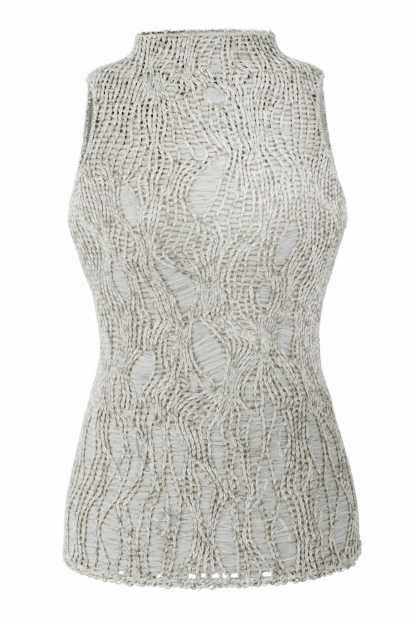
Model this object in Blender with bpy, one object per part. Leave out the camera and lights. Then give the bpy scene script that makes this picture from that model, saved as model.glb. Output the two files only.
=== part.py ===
"""Funnel-neck sweater vest in a laddered hand knit, kept in its worn, hollow form.

Two knitted panels meet at the side seams and along the shoulders and funnel neck.
Cords finish the neck, the armholes and the hem. Front is -Y and up is +Z. The origin
lies between the shoulders, at the height where the wearer's shoulders carry the vest.
"""
import math
from collections import namedtuple

import bmesh
import bpy
from mathutils import Vector

MM = 0.001

# Cloth and seams
WALL = 2.4 * MM
SEAM_GAP = 0.3 * MM

# Heights of the garment's landmarks
HEM_Z = -558 * MM
UNDERARM_Z = -163 * MM
SHOULDER_TIP_Z = -14 * MM
NECK_TOP_Z = 34 * MM

# The hem hangs lower in front and behind than at the side seams
HEM_DIP_FROM_Z = -330 * MM
HEM_DIP_FRONT = 26 * MM
HEM_DIP_BACK = 8 * MM

# The neck's rim is low in front and high behind
RIM_TILT_FROM_Z = -20 * MM
RIM_DROP_FRONT = 4 * MM
RIM_RISE_BACK = 10 * MM

# Panel grids
BODY_ROWS = 21
ARMHOLE_ROWS = 10
NECK_ROWS = 8
COLUMNS = 24

# One row a level: half the width at the seams, and the depth in front of and behind them.
# Squareness 2 is an ellipse, and more than 2 is boxier.
Level = namedtuple("Level", "z half_width front back squareness")
LEVELS = (
    Level(z=-558, half_width=172.5, front=113, back=117, squareness=2.50),
    Level(z=-510, half_width=169.5, front=110, back=117, squareness=2.50),
    Level(z=-470, half_width=161.5, front=105, back=112, squareness=2.45),
    Level(z=-433, half_width=151.5, front=100, back=103, squareness=2.40),
    Level(z=-395, half_width=139.5, front=95, back=92, squareness=2.35),
    Level(z=-358, half_width=129.0, front=89, back=84, squareness=2.30),
    Level(z=-320, half_width=126.5, front=86, back=80, squareness=2.30),
    Level(z=-285, half_width=131.0, front=87, back=81, squareness=2.30),
    Level(z=-255, half_width=136.5, front=90, back=84, squareness=2.30),
    Level(z=-217, half_width=150.5, front=94, back=88, squareness=2.35),
    Level(z=-182, half_width=161.0, front=96, back=92, squareness=2.40),
    Level(z=-163, half_width=159.5, front=95, back=94, squareness=2.40),
    Level(z=-124, half_width=156.5, front=89, back=96, squareness=2.40),
    Level(z=-86, half_width=152.0, front=82, back=95, squareness=2.40),
    Level(z=-45, half_width=147.0, front=74, back=88, squareness=2.40),
    Level(z=-14, half_width=138.0, front=67, back=79, squareness=2.35),
    Level(z=-2, half_width=120.0, front=65, back=75, squareness=2.25),
    Level(z=7, half_width=97.0, front=63, back=71, squareness=2.15),
    Level(z=16, half_width=86.0, front=61, back=68, squareness=2.10),
    Level(z=26, half_width=82.0, front=60, back=65, squareness=2.10),
    Level(z=34, half_width=80.5, front=59, back=63, squareness=2.10),
)

# The front is knitted fuller over the two cups, and the cloth bridges the valley between
CUP_X = 70 * MM
CUP_Z = -204 * MM
CUP_REACH_X = 46 * MM
CUP_REACH_UP = 58 * MM
CUP_REACH_DOWN = 40 * MM
CUP_RISE = 27 * MM

# How far the armhole opens, from the seam line forwards and backwards
ARMHOLE_FRONT = 47 * MM
ARMHOLE_BACK = 41 * MM
ARMHOLE_SQUARE_TOP = 2.7
ARMHOLE_ROUND_FOOT = 1.9

# Soft drag folds where the cloth goes from waist to hip: each runs in from a side seam
Fold = namedtuple("Fold", "side face z run reach_z rise slope")
FOLDS = (
    Fold(side=-1, face="front", z=-372, run=62, reach_z=15, rise=3.4, slope=0.22),
    Fold(side=-1, face="front", z=-409, run=46, reach_z=13, rise=2.6, slope=0.10),
    Fold(side=1, face="front", z=-386, run=50, reach_z=14, rise=2.4, slope=0.18),
    Fold(side=1, face="front", z=-248, run=44, reach_z=15, rise=2.2, slope=-0.45),
    Fold(side=-1, face="front", z=-244, run=40, reach_z=14, rise=1.9, slope=-0.50),
    Fold(side=-1, face="back", z=-362, run=70, reach_z=16, rise=3.2, slope=0.15),
    Fold(side=1, face="back", z=-378, run=64, reach_z=15, rise=3.0, slope=0.20),
    Fold(side=1, face="back", z=-332, run=52, reach_z=14, rise=2.3, slope=-0.12),
)

# Edge cords: width lies in the cloth's surface, thickness across it
Cord = namedtuple("Cord", "width thickness sides")
NECK_CORD = Cord(width=5.0 * MM, thickness=5.6 * MM, sides=8)
ARMHOLE_CORD = Cord(width=3.2 * MM, thickness=3.6 * MM, sides=6)
HEM_CORD = Cord(width=8.0 * MM, thickness=3.6 * MM, sides=6)

# Undyed yarn: colour as linear red, green, blue
ECRU = (0.58, 0.57, 0.52, 1.0)
ECRU_SHADE = (0.52, 0.51, 0.46, 1.0)
YARN_ROUGHNESS = 0.85

FRONT, BACK = "front", "back"


def clear_scene():
    """Remove whatever objects the file starts with."""
    for obj in list(bpy.data.objects):
        bpy.data.objects.remove(obj, do_unlink=True)


def level_value(column, z):
    """A column of LEVELS at height z (metres), on a smooth curve through the rows."""
    z_mm = z / MM
    rows = LEVELS
    last = len(rows) - 2
    i = next((k for k in range(last + 1) if z_mm <= rows[k + 1].z), last)

    def slope(k):
        low = rows[max(k - 1, 0)]
        high = rows[min(k + 1, len(rows) - 1)]
        return (getattr(high, column) - getattr(low, column)) / (high.z - low.z)

    low, high = rows[i], rows[i + 1]
    span = high.z - low.z
    f = min(max((z_mm - low.z) / span, 0.0), 1.0)
    a, b = getattr(low, column), getattr(high, column)
    rise = b - a
    start = slope(i) * span - rise
    end = rise - slope(i + 1) * span
    return a + rise * f + f * (1 - f) * (start * (1 - f) + end * f)


def armhole_half_opening(face, z):
    """How far the armhole reaches from the seam line at height z: 0 outside the armhole."""
    f = (SHOULDER_TIP_Z - z) / (SHOULDER_TIP_Z - UNDERARM_Z)
    if not 0.0 < f < 1.0:
        return 0.0
    power = ARMHOLE_SQUARE_TOP if f < 0.5 else ARMHOLE_ROUND_FOOT
    widest = ARMHOLE_FRONT if face == FRONT else ARMHOLE_BACK
    return widest * (1 - abs(2 * f - 1) ** power) ** (1 / power)


def start_angle(face, z):
    """The angle from the seam line at which the panel begins at height z."""
    opening = armhole_half_opening(face, z)
    depth = level_value(face, z) * MM
    return math.asin((opening / depth) ** (level_value("squareness", z) / 2))


def cup_rise(x, z):
    """How far the cloth stands out over the cups at x, z."""
    reach_z = CUP_REACH_UP if z > CUP_Z else CUP_REACH_DOWN
    down = math.exp(-0.5 * ((z - CUP_Z) / reach_z) ** 2)
    across = max(math.exp(-0.5 * ((x - side * CUP_X) / CUP_REACH_X) ** 2) for side in (-1, 1))
    bridge = math.exp(-0.5 * (x / CUP_X) ** 2) * 0.62
    return CUP_RISE * down * max(across, bridge)


def fold_rise(face, x, z):
    """How far the drag folds lift the cloth at x, z."""
    rise = 0.0
    for fold in FOLDS:
        inward = level_value("half_width", z) * MM - fold.side * x
        centre = fold.z * MM + fold.slope * inward
        along = max(0.0, 1 - inward / (fold.run * MM))
        if fold.face == face and inward >= 0:
            across = math.exp(-0.5 * ((z - centre) / (fold.reach_z * MM)) ** 2)
            rise += fold.rise * MM * along * across
    return rise


def cloth_point(face, angle, z):
    """The middle of the cloth: angle 0 is the seam at +X, and pi is the seam at -X."""
    side = -1 if face == FRONT else 1
    power = 2 / level_value("squareness", z)
    forward = math.sin(angle) ** power
    across = abs(math.cos(angle)) ** power
    x = math.copysign(level_value("half_width", z) * MM * across, math.cos(angle))
    depth = level_value(face, z) * MM
    outward = fold_rise(face, x, z)
    if face == FRONT:
        depth += cup_rise(x, z)
    x += math.copysign(outward, x) * across
    hem = max(0.0, (HEM_DIP_FROM_Z - z) / (HEM_DIP_FROM_Z - HEM_Z)) ** 1.5
    rim = max(0.0, (z - RIM_TILT_FROM_Z) / (NECK_TOP_Z - RIM_TILT_FROM_Z)) ** 1.5
    dip = HEM_DIP_FRONT if face == FRONT else HEM_DIP_BACK
    tilt = -RIM_DROP_FRONT if face == FRONT else RIM_RISE_BACK
    height = z + forward * (tilt * rim - dip * hem)
    y = side * ((depth + outward) * forward + SEAM_GAP / 2)
    return Vector((x, y, height))


def row_heights():
    """Heights of the panel's rows, from hem to neck, with rows on every landmark."""
    body = [HEM_Z + (UNDERARM_Z - HEM_Z) * i / BODY_ROWS for i in range(BODY_ROWS)]
    arm = [
        UNDERARM_Z + (SHOULDER_TIP_Z - UNDERARM_Z) * (1 - math.cos(math.pi * i / ARMHOLE_ROWS)) / 2
        for i in range(ARMHOLE_ROWS)
    ]
    neck = [
        SHOULDER_TIP_Z + (NECK_TOP_Z - SHOULDER_TIP_Z) * i / NECK_ROWS
        for i in range(NECK_ROWS + 1)
    ]
    return body + arm + neck


def cloth_grid(face, heights):
    """The panel's middle surface: a row of points for each height, from +X to -X."""
    grid = []
    for z in heights:
        begin = start_angle(face, z)
        sweep = math.pi - 2 * begin
        grid.append([cloth_point(face, begin + sweep * j / COLUMNS, z) for j in range(COLUMNS + 1)])
    return grid


def cloth_normals(face, grid, heights):
    """Outward normals of the grid. On a seam they lie square to the seam's plane."""
    outward = -1 if face == FRONT else 1
    normals = []
    for i, row in enumerate(grid):
        below, above = grid[max(i - 1, 0)], grid[min(i + 1, len(grid) - 1)]
        line = []
        for j in range(len(row)):
            across = row[min(j + 1, COLUMNS)] - row[max(j - 1, 0)]
            normal = across.cross(above[j] - below[j]) * outward * -1
            if j in (0, COLUMNS) and armhole_half_opening(face, heights[i]) == 0.0:
                normal.y = 0.0
            line.append(normal.normalized())
        normals.append(line)
    return normals


def ring_faces(bm, first, second):
    """Join two closed rings of vertices with quads."""
    count = len(first)
    for k in range(count):
        after = (k + 1) % count
        bm.faces.new((first[k], first[after], second[after], second[k]))


def new_object(name, bm, material):
    """Finish a mesh: normals out, smooth with sharp rims, one material."""
    bmesh.ops.recalc_face_normals(bm, faces=bm.faces)
    mesh = bpy.data.meshes.new(name)
    bm.to_mesh(mesh)
    bm.free()
    mesh.shade_smooth()
    mesh.set_sharp_from_angle(angle=math.radians(50))
    mesh.materials.append(material)
    obj = bpy.data.objects.new(name, mesh)
    bpy.context.scene.collection.objects.link(obj)
    return obj


def yarn_material(name, colour):
    """Matt spun yarn."""
    material = bpy.data.materials.new(name)
    material.use_nodes = True
    shader = material.node_tree.nodes["Principled BSDF"]
    shader.inputs["Base Color"].default_value = colour
    shader.inputs["Roughness"].default_value = YARN_ROUGHNESS
    shader.inputs["Metallic"].default_value = 0.0
    return material


def build_panel(name, grid, normals, material):
    """A cloth wall round the grid, with its rims closed."""
    bm = bmesh.new()
    skins = []
    for side in (0.5, -0.5):
        skins.append([
            [bm.verts.new(point + normal * WALL * side) for point, normal in zip(row, line)]
            for row, line in zip(grid, normals)
        ])
    last_row, last_column = len(grid) - 1, len(grid[0]) - 1
    for skin in skins:
        for i in range(last_row):
            for j in range(last_column):
                bm.faces.new((skin[i][j], skin[i][j + 1], skin[i + 1][j + 1], skin[i + 1][j]))
    rim = [(0, j) for j in range(last_column)]
    rim += [(i, last_column) for i in range(last_row)]
    rim += [(last_row, j) for j in range(last_column, 0, -1)]
    rim += [(i, 0) for i in range(last_row, 0, -1)]
    outer, inner = ([skin[i][j] for i, j in rim] for skin in skins)
    ring_faces(bm, outer, inner)
    bmesh.ops.triangulate(bm, faces=bm.faces)
    return new_object(name, bm, material)


def joined_ring(near, far):
    """A closed ring from two open runs whose ends meet at the seams."""
    def meet(a, b):
        return (a + b) / 2

    ring = [meet(near[0], far[-1])] + near[1:-1]
    ring += [meet(near[-1], far[0])] + far[1:-1]
    return ring


def build_cord(name, points, normals, cord, away, material):
    """A cord worked along a cloth edge, a seam's gap clear of it. away is a rough
    direction out of the cloth at the ring's first point."""
    bm = bmesh.new()
    count = len(points)
    rings = []
    flip = 1.0
    for i, (point, normal) in enumerate(zip(points, normals)):
        along = (points[(i + 1) % count] - points[i - 1]).normalized()
        normal = (normal - along * normal.dot(along)).normalized()
        outward = along.cross(normal)
        if i == 0 and outward.dot(away) < 0:
            flip = -1.0
        outward *= flip
        centre = point + outward * (SEAM_GAP + cord.width / 2)
        turns = [2 * math.pi * k / cord.sides for k in range(cord.sides)]
        rings.append([
            bm.verts.new(
                centre
                + outward * math.cos(turn) * cord.width / 2
                + normal * math.sin(turn) * cord.thickness / 2
            )
            for turn in turns
        ])
    for i in range(count):
        ring_faces(bm, rings[i], rings[(i + 1) % count])
    bmesh.ops.triangulate(bm, faces=bm.faces)
    return new_object(name, bm, material)


def build_row_cord(name, grids, normals, row, cord, away, material):
    """A cord along one row of both panels: the neck's top row or the hem's."""
    points = joined_ring(grids[FRONT][row], grids[BACK][row][::-1])
    directions = joined_ring(normals[FRONT][row], normals[BACK][row][::-1])
    return build_cord(name, points, directions, cord, away, material)


def build_armhole_cord(name, grids, normals, column, heights, material):
    """A cord up the front panel's armhole edge and down the back panel's."""
    first = heights.index(UNDERARM_Z)
    last = heights.index(SHOULDER_TIP_Z)

    def ring(source):
        front = [source[FRONT][i][column] for i in range(first, last + 1)]
        back = [source[BACK][i][column] for i in range(last, first - 1, -1)]
        return joined_ring(front, back)

    up = Vector((0, 0, 1))
    return build_cord(name, ring(grids), ring(normals), ARMHOLE_CORD, up, material)


def main():
    clear_scene()
    panel_yarn = yarn_material("knitted_yarn", ECRU)
    edge_yarn = yarn_material("edge_yarn", ECRU_SHADE)
    heights = row_heights()
    grids = {face: cloth_grid(face, heights) for face in (FRONT, BACK)}
    normals = {face: cloth_normals(face, grids[face], heights) for face in (FRONT, BACK)}

    build_panel("front_panel", grids[FRONT], normals[FRONT], panel_yarn)
    build_panel("back_panel", grids[BACK], normals[BACK], panel_yarn)

    up, down = Vector((0, 0, 1)), Vector((0, 0, -1))
    build_row_cord("neck_edge", grids, normals, -1, NECK_CORD, up, edge_yarn)
    build_row_cord("hem_edge", grids, normals, 0, HEM_CORD, down, edge_yarn)
    build_armhole_cord("armhole_edge_right", grids, normals, 0, heights, edge_yarn)
    build_armhole_cord("armhole_edge_left", grids, normals, COLUMNS, heights, edge_yarn)


main()
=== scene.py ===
"""Looks of the funnel-neck sweater vest: stitches, ladders, edgings, yarn and studio."""
import functools
import math
from collections import namedtuple

import bpy
import numpy as np
from bpy.props import FloatProperty, FloatVectorProperty, PointerProperty
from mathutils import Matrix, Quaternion, Vector
from mathutils.bvhtree import BVHTree


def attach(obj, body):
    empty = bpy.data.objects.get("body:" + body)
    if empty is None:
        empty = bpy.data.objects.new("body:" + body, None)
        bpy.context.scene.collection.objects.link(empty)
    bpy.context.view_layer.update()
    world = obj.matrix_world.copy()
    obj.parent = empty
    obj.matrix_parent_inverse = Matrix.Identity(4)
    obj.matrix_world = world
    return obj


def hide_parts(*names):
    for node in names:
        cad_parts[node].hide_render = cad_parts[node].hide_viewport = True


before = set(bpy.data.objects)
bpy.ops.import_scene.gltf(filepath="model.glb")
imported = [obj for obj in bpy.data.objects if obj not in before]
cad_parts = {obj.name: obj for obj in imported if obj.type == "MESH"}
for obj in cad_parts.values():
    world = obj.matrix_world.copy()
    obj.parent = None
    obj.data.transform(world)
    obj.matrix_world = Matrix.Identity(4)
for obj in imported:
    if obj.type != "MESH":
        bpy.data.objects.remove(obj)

bl_info = {
    "name": "Laddered Knit Vest",
    "version": (1, 0, 0),
    "blender": (4, 5, 0),
    "location": "View3D > Sidebar > Vest",
    "description": "Dresses the vest's frame with knitted stitches, ladders and edgings",
    "category": "Object",
}

MM = 0.001
FRONT, BACK = "front", "back"
# Where each part of the making starts its random numbers, so that every run is the same
SEEDS = {FRONT: 5, BACK: 9, "stitches": 17, "floats": 23, "neck": 31, "armholes": 37,
         "hem": 41, "eyelets": 53, "eyelet_rims": 3}


def srgb(hex_colour):
    """An sRGB hex colour as linear red, green and blue."""
    levels = [int(hex_colour[i:i + 2], 16) / 255 for i in (1, 3, 5)]
    return tuple(v / 12.92 if v <= 0.04045 else ((v + 0.055) / 1.055) ** 2.4 for v in levels)


def table(kind, rows):
    """A table of rows of one kind, whose columns the kind names."""
    return tuple(kind(*row) for row in rows)


def read_off(rows, column, at, by="z"):
    """A column of a table at the places at of another, straight between its rows."""
    return np.interp(at, [getattr(row, by) for row in rows],
                     [getattr(row, column) for row in rows])


def unit(vectors):
    """The same directions, each 1 long."""
    return vectors / np.maximum(np.linalg.norm(vectors, axis=-1, keepdims=True), 1e-12)


# ---------------------------------------------------------------- the cloth's form
# The panels' sections, as the frame's own source gives them but for a crisper shoulder
# tip, in millimetres: half the width at the seams, the depth in front of and behind them,
# and how boxy the section is.
Level = namedtuple("Level", "z half_width front back squareness")
LEVELS = table(Level, [
    (-558, 172.5, 113, 117, 2.50),
    (-510, 169.5, 110, 117, 2.50),
    (-470, 161.5, 105, 112, 2.45),
    (-433, 151.5, 100, 103, 2.40),
    (-395, 139.5, 95, 92, 2.35),
    (-358, 129.0, 89, 84, 2.30),
    (-320, 126.5, 86, 80, 2.30),
    (-285, 131.0, 87, 81, 2.30),
    (-255, 136.5, 90, 84, 2.30),
    (-217, 150.5, 94, 88, 2.35),
    (-182, 161.0, 96, 92, 2.40),
    (-163, 159.5, 95, 94, 2.40),
    (-124, 156.5, 89, 96, 2.40),
    (-86, 152.0, 82, 95, 2.40),
    (-45, 147.0, 74, 88, 2.40),
    (-14, 138.5, 67, 79, 2.35),
    (-8, 134.5, 66, 77, 2.30),
    (-1, 121.5, 65, 75, 2.25),
    (7, 97.0, 63, 71, 2.15),
    (16, 86.0, 61, 68, 2.10),
    (26, 82.0, 60, 65, 2.10),
    (34, 80.5, 59, 63, 2.10),
])
HEM_Z, UNDERARM_Z, SHOULDER_TIP_Z, NECK_TOP_Z = -558, -163, -14, 34
# How far each panel's middle dips at the hem, and rises at the rim, from which level on,
# and how softly both begin
HEM_DIP_FROM_Z, HEM_DIP = -330, {FRONT: 26, BACK: 8}
RIM_TILT_FROM_Z, RIM_TILT = -20, {FRONT: -4, BACK: 10}
SOFT_START = 1.5
# The bust: the middle of a cup and its rise, its reach each way, and how much of the rise
# bridges the two cups
CUP_X, CUP_Z, CUP_RISE = 70, -204, 27
CUP_REACH_X, CUP_REACH_UP, CUP_REACH_DOWN, CUP_BRIDGE = 46, 58, 40, 0.62
# How far an armhole cuts into each panel, and how square its top and its foot are
ARMHOLE = {FRONT: 47, BACK: 41}
ARMHOLE_SQUARE_TOP, ARMHOLE_ROUND_FOOT = 2.7, 1.9
# How far beyond the frame's each panel's edge at the armholes runs, half way up them: the
# front's is set in, so that the inside of the back shows beyond it
ARMHOLE_SHIFT = {FRONT: -3.0, BACK: 3.0}
# Between the two panels at a seam
SEAM_GAP = 0.3
# How far the cloth's middle sinks behind the frame's at each level: on the shoulders and
# the neck its stitches would else stand too far out
Sink = namedtuple("Sink", "z depth")
SINKS = table(Sink, [(-110, 0.0), (-50, 1.0), (-15, 2.0), (34, 1.6)])

# Drag folds at bust, waist and hip, each running in from a side seam
Fold = namedtuple("Fold", "side face z run reach_z rise slope")
FOLDS = table(Fold, [
    (-1, FRONT, -372, 62, 15, 3.4, 0.22),
    (-1, FRONT, -409, 46, 13, 2.6, 0.10),
    (1, FRONT, -386, 50, 14, 2.4, 0.18),
    (1, FRONT, -248, 44, 15, 2.2, -0.45),
    (-1, FRONT, -244, 40, 14, 1.9, -0.50),
    (-1, BACK, -362, 70, 16, 3.2, 0.15),
    (1, BACK, -378, 64, 15, 3.0, 0.20),
    (1, BACK, -332, 52, 14, 2.3, -0.12),
])


def level_curve(column, z):
    """A column of LEVELS at heights z, on a smooth curve through the rows."""
    heights = np.array([level.z for level in LEVELS], float)
    values = np.array([getattr(level, column) for level in LEVELS], float)
    index = np.arange(len(heights))
    before, after = np.maximum(index - 1, 0), np.minimum(index + 1, len(heights) - 1)
    slopes = (values[after] - values[before]) / (heights[after] - heights[before])
    i = np.clip(np.searchsorted(heights, z) - 1, 0, len(heights) - 2)
    span = heights[i + 1] - heights[i]
    f = np.clip((z - heights[i]) / span, 0, 1)
    rise = values[i + 1] - values[i]
    start, end = slopes[i] * span - rise, rise - slopes[i + 1] * span
    return values[i] + rise * f + f * (1 - f) * (start * (1 - f) + end * f)


def armhole_start_angle(face, z):
    """The angle from the seam line at which the panel begins at height z."""
    f = np.clip((SHOULDER_TIP_Z - z) / (SHOULDER_TIP_Z - UNDERARM_Z), 0, 1)
    power = np.where(f < 0.5, ARMHOLE_SQUARE_TOP, ARMHOLE_ROUND_FOOT)
    opening = ARMHOLE[face] * np.maximum(1 - np.abs(2 * f - 1) ** power, 0) ** (1 / power)
    return np.arcsin((opening / level_curve(face, z)) ** (level_curve("squareness", z) / 2))


def cloth_points(face, angle, z):
    """The middle of the cloth in metres: angle 0 is the seam at +X, and pi the one at -X."""
    side = -1 if face == FRONT else 1
    power = 2 / level_curve("squareness", z)
    forward = np.maximum(np.sin(angle), 0) ** power
    across = np.abs(np.cos(angle)) ** power
    half_width = level_curve("half_width", z)
    sign = np.where(np.cos(angle) < 0, -1.0, 1.0)
    x = sign * half_width * across
    depth = level_curve(face, z)
    lift = np.zeros_like(x)
    for fold in FOLDS:
        inward = half_width - fold.side * x
        along = np.clip(1 - inward / fold.run, 0, 1) * (inward >= 0)
        off = (z - fold.z - fold.slope * inward) / fold.reach_z
        lift += (fold.face == face) * fold.rise * along * np.exp(-0.5 * off ** 2)
    if face == FRONT:
        reach = np.where(z > CUP_Z, CUP_REACH_UP, CUP_REACH_DOWN)
        cups = [np.exp(-0.5 * ((x - s * CUP_X) / CUP_REACH_X) ** 2) for s in (-1, 1)]
        bridge = CUP_BRIDGE * np.exp(-0.5 * (x / CUP_X) ** 2)
        shape = np.maximum(np.maximum(*cups), bridge)
        depth = depth + CUP_RISE * np.exp(-0.5 * ((z - CUP_Z) / reach) ** 2) * shape
    x = x + sign * lift * across
    hem = np.maximum(0, (HEM_DIP_FROM_Z - z) / (HEM_DIP_FROM_Z - HEM_Z)) ** SOFT_START
    rim = np.maximum(0, (z - RIM_TILT_FROM_Z) / (NECK_TOP_Z - RIM_TILT_FROM_Z)) ** SOFT_START
    height = z + forward * (RIM_TILT[face] * rim - HEM_DIP[face] * hem)
    y = side * ((depth + lift) * forward + SEAM_GAP / 2)
    return np.stack([x, y, height], -1) * MM


class Cloth:
    """A panel's surface, addressed in millimetres: x is the distance round it from the
    centre line, and z the level. The armhole is not cut out of it, so that the wales run
    on through and are clipped at the edge."""

    # Columns of the surface, the angles that they are spaced by, and its rows: coarse up
    # to the shoulders and fine above
    COLUMNS = 241
    ANGLES = 361
    LEVEL_STEP, SHOULDER_STEP, SHOULDER_FROM_Z = 2.5, 1.0, -20

    def __init__(self, face):
        self.face = face
        body = np.arange(HEM_Z, self.SHOULDER_FROM_Z, self.LEVEL_STEP)
        neck = np.arange(self.SHOULDER_FROM_Z, NECK_TOP_Z, self.SHOULDER_STEP)
        self.z = np.concatenate([body, neck, [NECK_TOP_Z]])
        angles = np.linspace(0, math.pi, self.ANGLES)
        z, angle = np.meshgrid(self.z, angles, indexing="ij")
        fine = cloth_points(face, angle, z)
        steps = np.linalg.norm(np.diff(fine, axis=1), axis=2) / MM
        travel = np.concatenate([np.zeros((len(self.z), 1)), steps.cumsum(1)], 1)
        middle = travel[:, self.ANGLES // 2, None]
        arc = middle - travel
        self.half = np.stack([travel[:, -1] - middle[:, 0], middle[:, 0]], 1)
        share = arc / np.where(arc > 0, self.half[:, 1:], self.half[:, :1])
        self.share = np.linspace(-1, 1, self.COLUMNS)
        self.points = np.stack([
            np.stack([np.interp(self.share, s[::-1], p[::-1, k]) for k in range(3)], 1)
            for s, p in zip(share, fine)
        ])
        begin = armhole_start_angle(face, self.z)
        self.edge = np.array([np.interp(b, angles, s) for b, s in zip(begin, share)])
        up = np.interp(self.z, (UNDERARM_Z, SHOULDER_TIP_Z), (0, math.pi))
        shift = ARMHOLE_SHIFT[face] * np.sqrt(np.clip(np.sin(up), 0, 1)) / self.half.mean(1)
        self.edge = np.minimum(self.edge + shift, 1)
        across = np.gradient(self.points, axis=1)
        up = np.gradient(self.points, axis=0)
        normals = np.cross(across, up)
        normals[:, 0, 1] = normals[:, -1, 1] = 0
        self.normals = unit(normals) * (-1 if face == BACK else 1)
        sinks = read_off(SINKS, "depth", self.z)
        self.points = self.points - self.normals * sinks[:, None, None] * MM

    def span(self, side, z):
        """The distance from the centre line to the seam at level z, on the left where side
        is below 0 and on the right elsewhere."""
        return np.where(side < 0, np.interp(z, self.z, self.half[:, 0]),
                        np.interp(z, self.z, self.half[:, 1]))

    def edge_share(self, z):
        """How far the cloth runs at level z, as a share of the way to the seam."""
        return np.interp(z, self.z, self.edge)

    def look_up(self, grid, share, z):
        """A grid of the surface at shares and levels, straight between its corners."""
        row = np.interp(z, self.z, np.arange(len(self.z)))
        column = (np.clip(share, -1, 1) + 1) / 2 * (self.COLUMNS - 1)
        r = np.minimum(row.astype(int), len(self.z) - 2)
        c = np.minimum(column.astype(int), self.COLUMNS - 2)
        fr, fc = (row - r)[..., None], (column - c)[..., None]
        low = grid[r, c] * (1 - fc) + grid[r, c + 1] * fc
        high = grid[r + 1, c] * (1 - fc) + grid[r + 1, c + 1] * fc
        return low * (1 - fr) + high * fr

    def at(self, x, z):
        """Points and outward normals at x, z."""
        x, z = np.broadcast_arrays(np.asarray(x, float), np.asarray(z, float))
        share = x / self.span(x, z)
        return self.look_up(self.points, share, z), unit(self.look_up(self.normals, share, z))


# ---------------------------------------------------------------- the ground's grid
# The ground is a web of quads behind the stitches. Its second row, between these heights
# above the hem, holds the eyelets, so far to either side.
EYELET_FOOT, EYELET_HEAD = 3.0, 6.4
EYELETS_WITHIN = 120
# How uneven the foot and the head of an eyelet are
EYELET_UNEVEN = (0.5, 1.3)
# How many columns of the ground an eyelet and the post beside it take: from, and below
EYELET_COLUMNS, POST_COLUMNS = (2, 6), (1, 4)
# How likely an eyelet is open, at each distance from the middle
EYELET_CHANCES = ((60, 0.7), (90, 0.5), (EYELETS_WITHIN, 0.15))
GROUND_COLUMNS = {FRONT: 200, BACK: 130}
# How tall the ground's rows are, and from where the shorter ones of the shoulders start
GROUND_ROW, SHOULDER_ROW, SHOULDER_FROM_Z = 6.0, 2.0, -22


def ground_levels():
    """The ground's rows: a strip under the eyelets, the eyelets, then all the rest."""
    body = np.arange(HEM_Z + EYELET_HEAD, SHOULDER_FROM_Z, GROUND_ROW)
    shoulders = np.arange(SHOULDER_FROM_Z, NECK_TOP_Z, SHOULDER_ROW)
    return np.concatenate([[HEM_Z, HEM_Z + EYELET_FOOT], body, shoulders, [NECK_TOP_Z]])


def ground_grid(cloth):
    """The ground's corners: their level z for each row, and share and x at each corner."""
    z = ground_levels()
    columns = GROUND_COLUMNS[cloth.face]
    share = np.linspace(-1, 1, columns + 1)[None, :] * cloth.edge_share(z)[:, None]
    return z, share, share * cloth.span(share, z[:, None])


def eyelet_columns(cloth):
    """Which of the ground's columns are open in the eyelet row: a few open ones, then a
    narrow post; most are open in the middle, and few towards the sides."""
    rng = np.random.default_rng(SEEDS["eyelets"])
    x = ground_grid(cloth)[2]
    middle = (x[1, :-1] + x[1, 1:]) / 2
    is_open = np.zeros(len(middle), bool)
    column = 0
    while column < len(middle):
        width, post = rng.integers(*EYELET_COLUMNS), rng.integers(*POST_COLUMNS)
        likely = np.interp(abs(middle[column]), *zip(*EYELET_CHANCES))
        is_open[column:column + width] = rng.random() < likely
        column += width + post
    return is_open & (np.abs(middle) < EYELETS_WITHIN), middle


# ---------------------------------------------------------------- how the wales run
# A wale is a column of stitches. Across a panel there are WALES of them, COURSE apart up
# the cloth, and they run straight up until the tables below gather, part or drop them.
# Millimetres throughout.
WALES = 78
COURSE = 6.0
HALF_WALE = 2.75
# Half the width of a wale's stitches for the room that it has: close wales nearly fill
# theirs, and one that stands alone in a ladder is narrow
Width = namedtuple("Width", "spacing half")
WALE_WIDTHS = table(Width, [
    (2.0, 0.95),
    (3.8, 1.65),
    (4.6, 2.0),
    (6.2, 2.65),
    (9.5, 2.1),
])
# How far from the edge of the cloth the outermost wale may run, and how far the last
# stitch of a wale that meets the edge may lean in to stay on the cloth
EDGE_MARGIN = 1.4
EDGE_LEAN = 7.0
# How the spacing of the wales changes above the underarm, as a share of that below it
Easing = namedtuple("Easing", "z share")
SPACING_ABOVE_UNDERARM = table(Easing, [
    (-163, 1.0),
    (-100, 1.05),
    (-50, 1.03),
    (-15, 0.92),
    (5, 0.80),
    (34, 0.70),
])

# Over a thinned band one wale in so many is dropped and the others spread into its room.
# Its ends wave from wale to wale by wave, with a turn in so many wales, and it sets in over
# THINNED_EASE.
Thinned = namedtuple("Thinned", "z_from z_to every wave")
THINNED_TURN, THINNED_EASE = 4.6, 9.0
THINNED = {
    FRONT: table(Thinned, [(-116, -44, 4, 7.0), (-9, 60, 3, 3.0)]),
    BACK: table(Thinned, [(-104, -40, 5, 5.0), (-9, 60, 3, 3.0)]),
}

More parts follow.
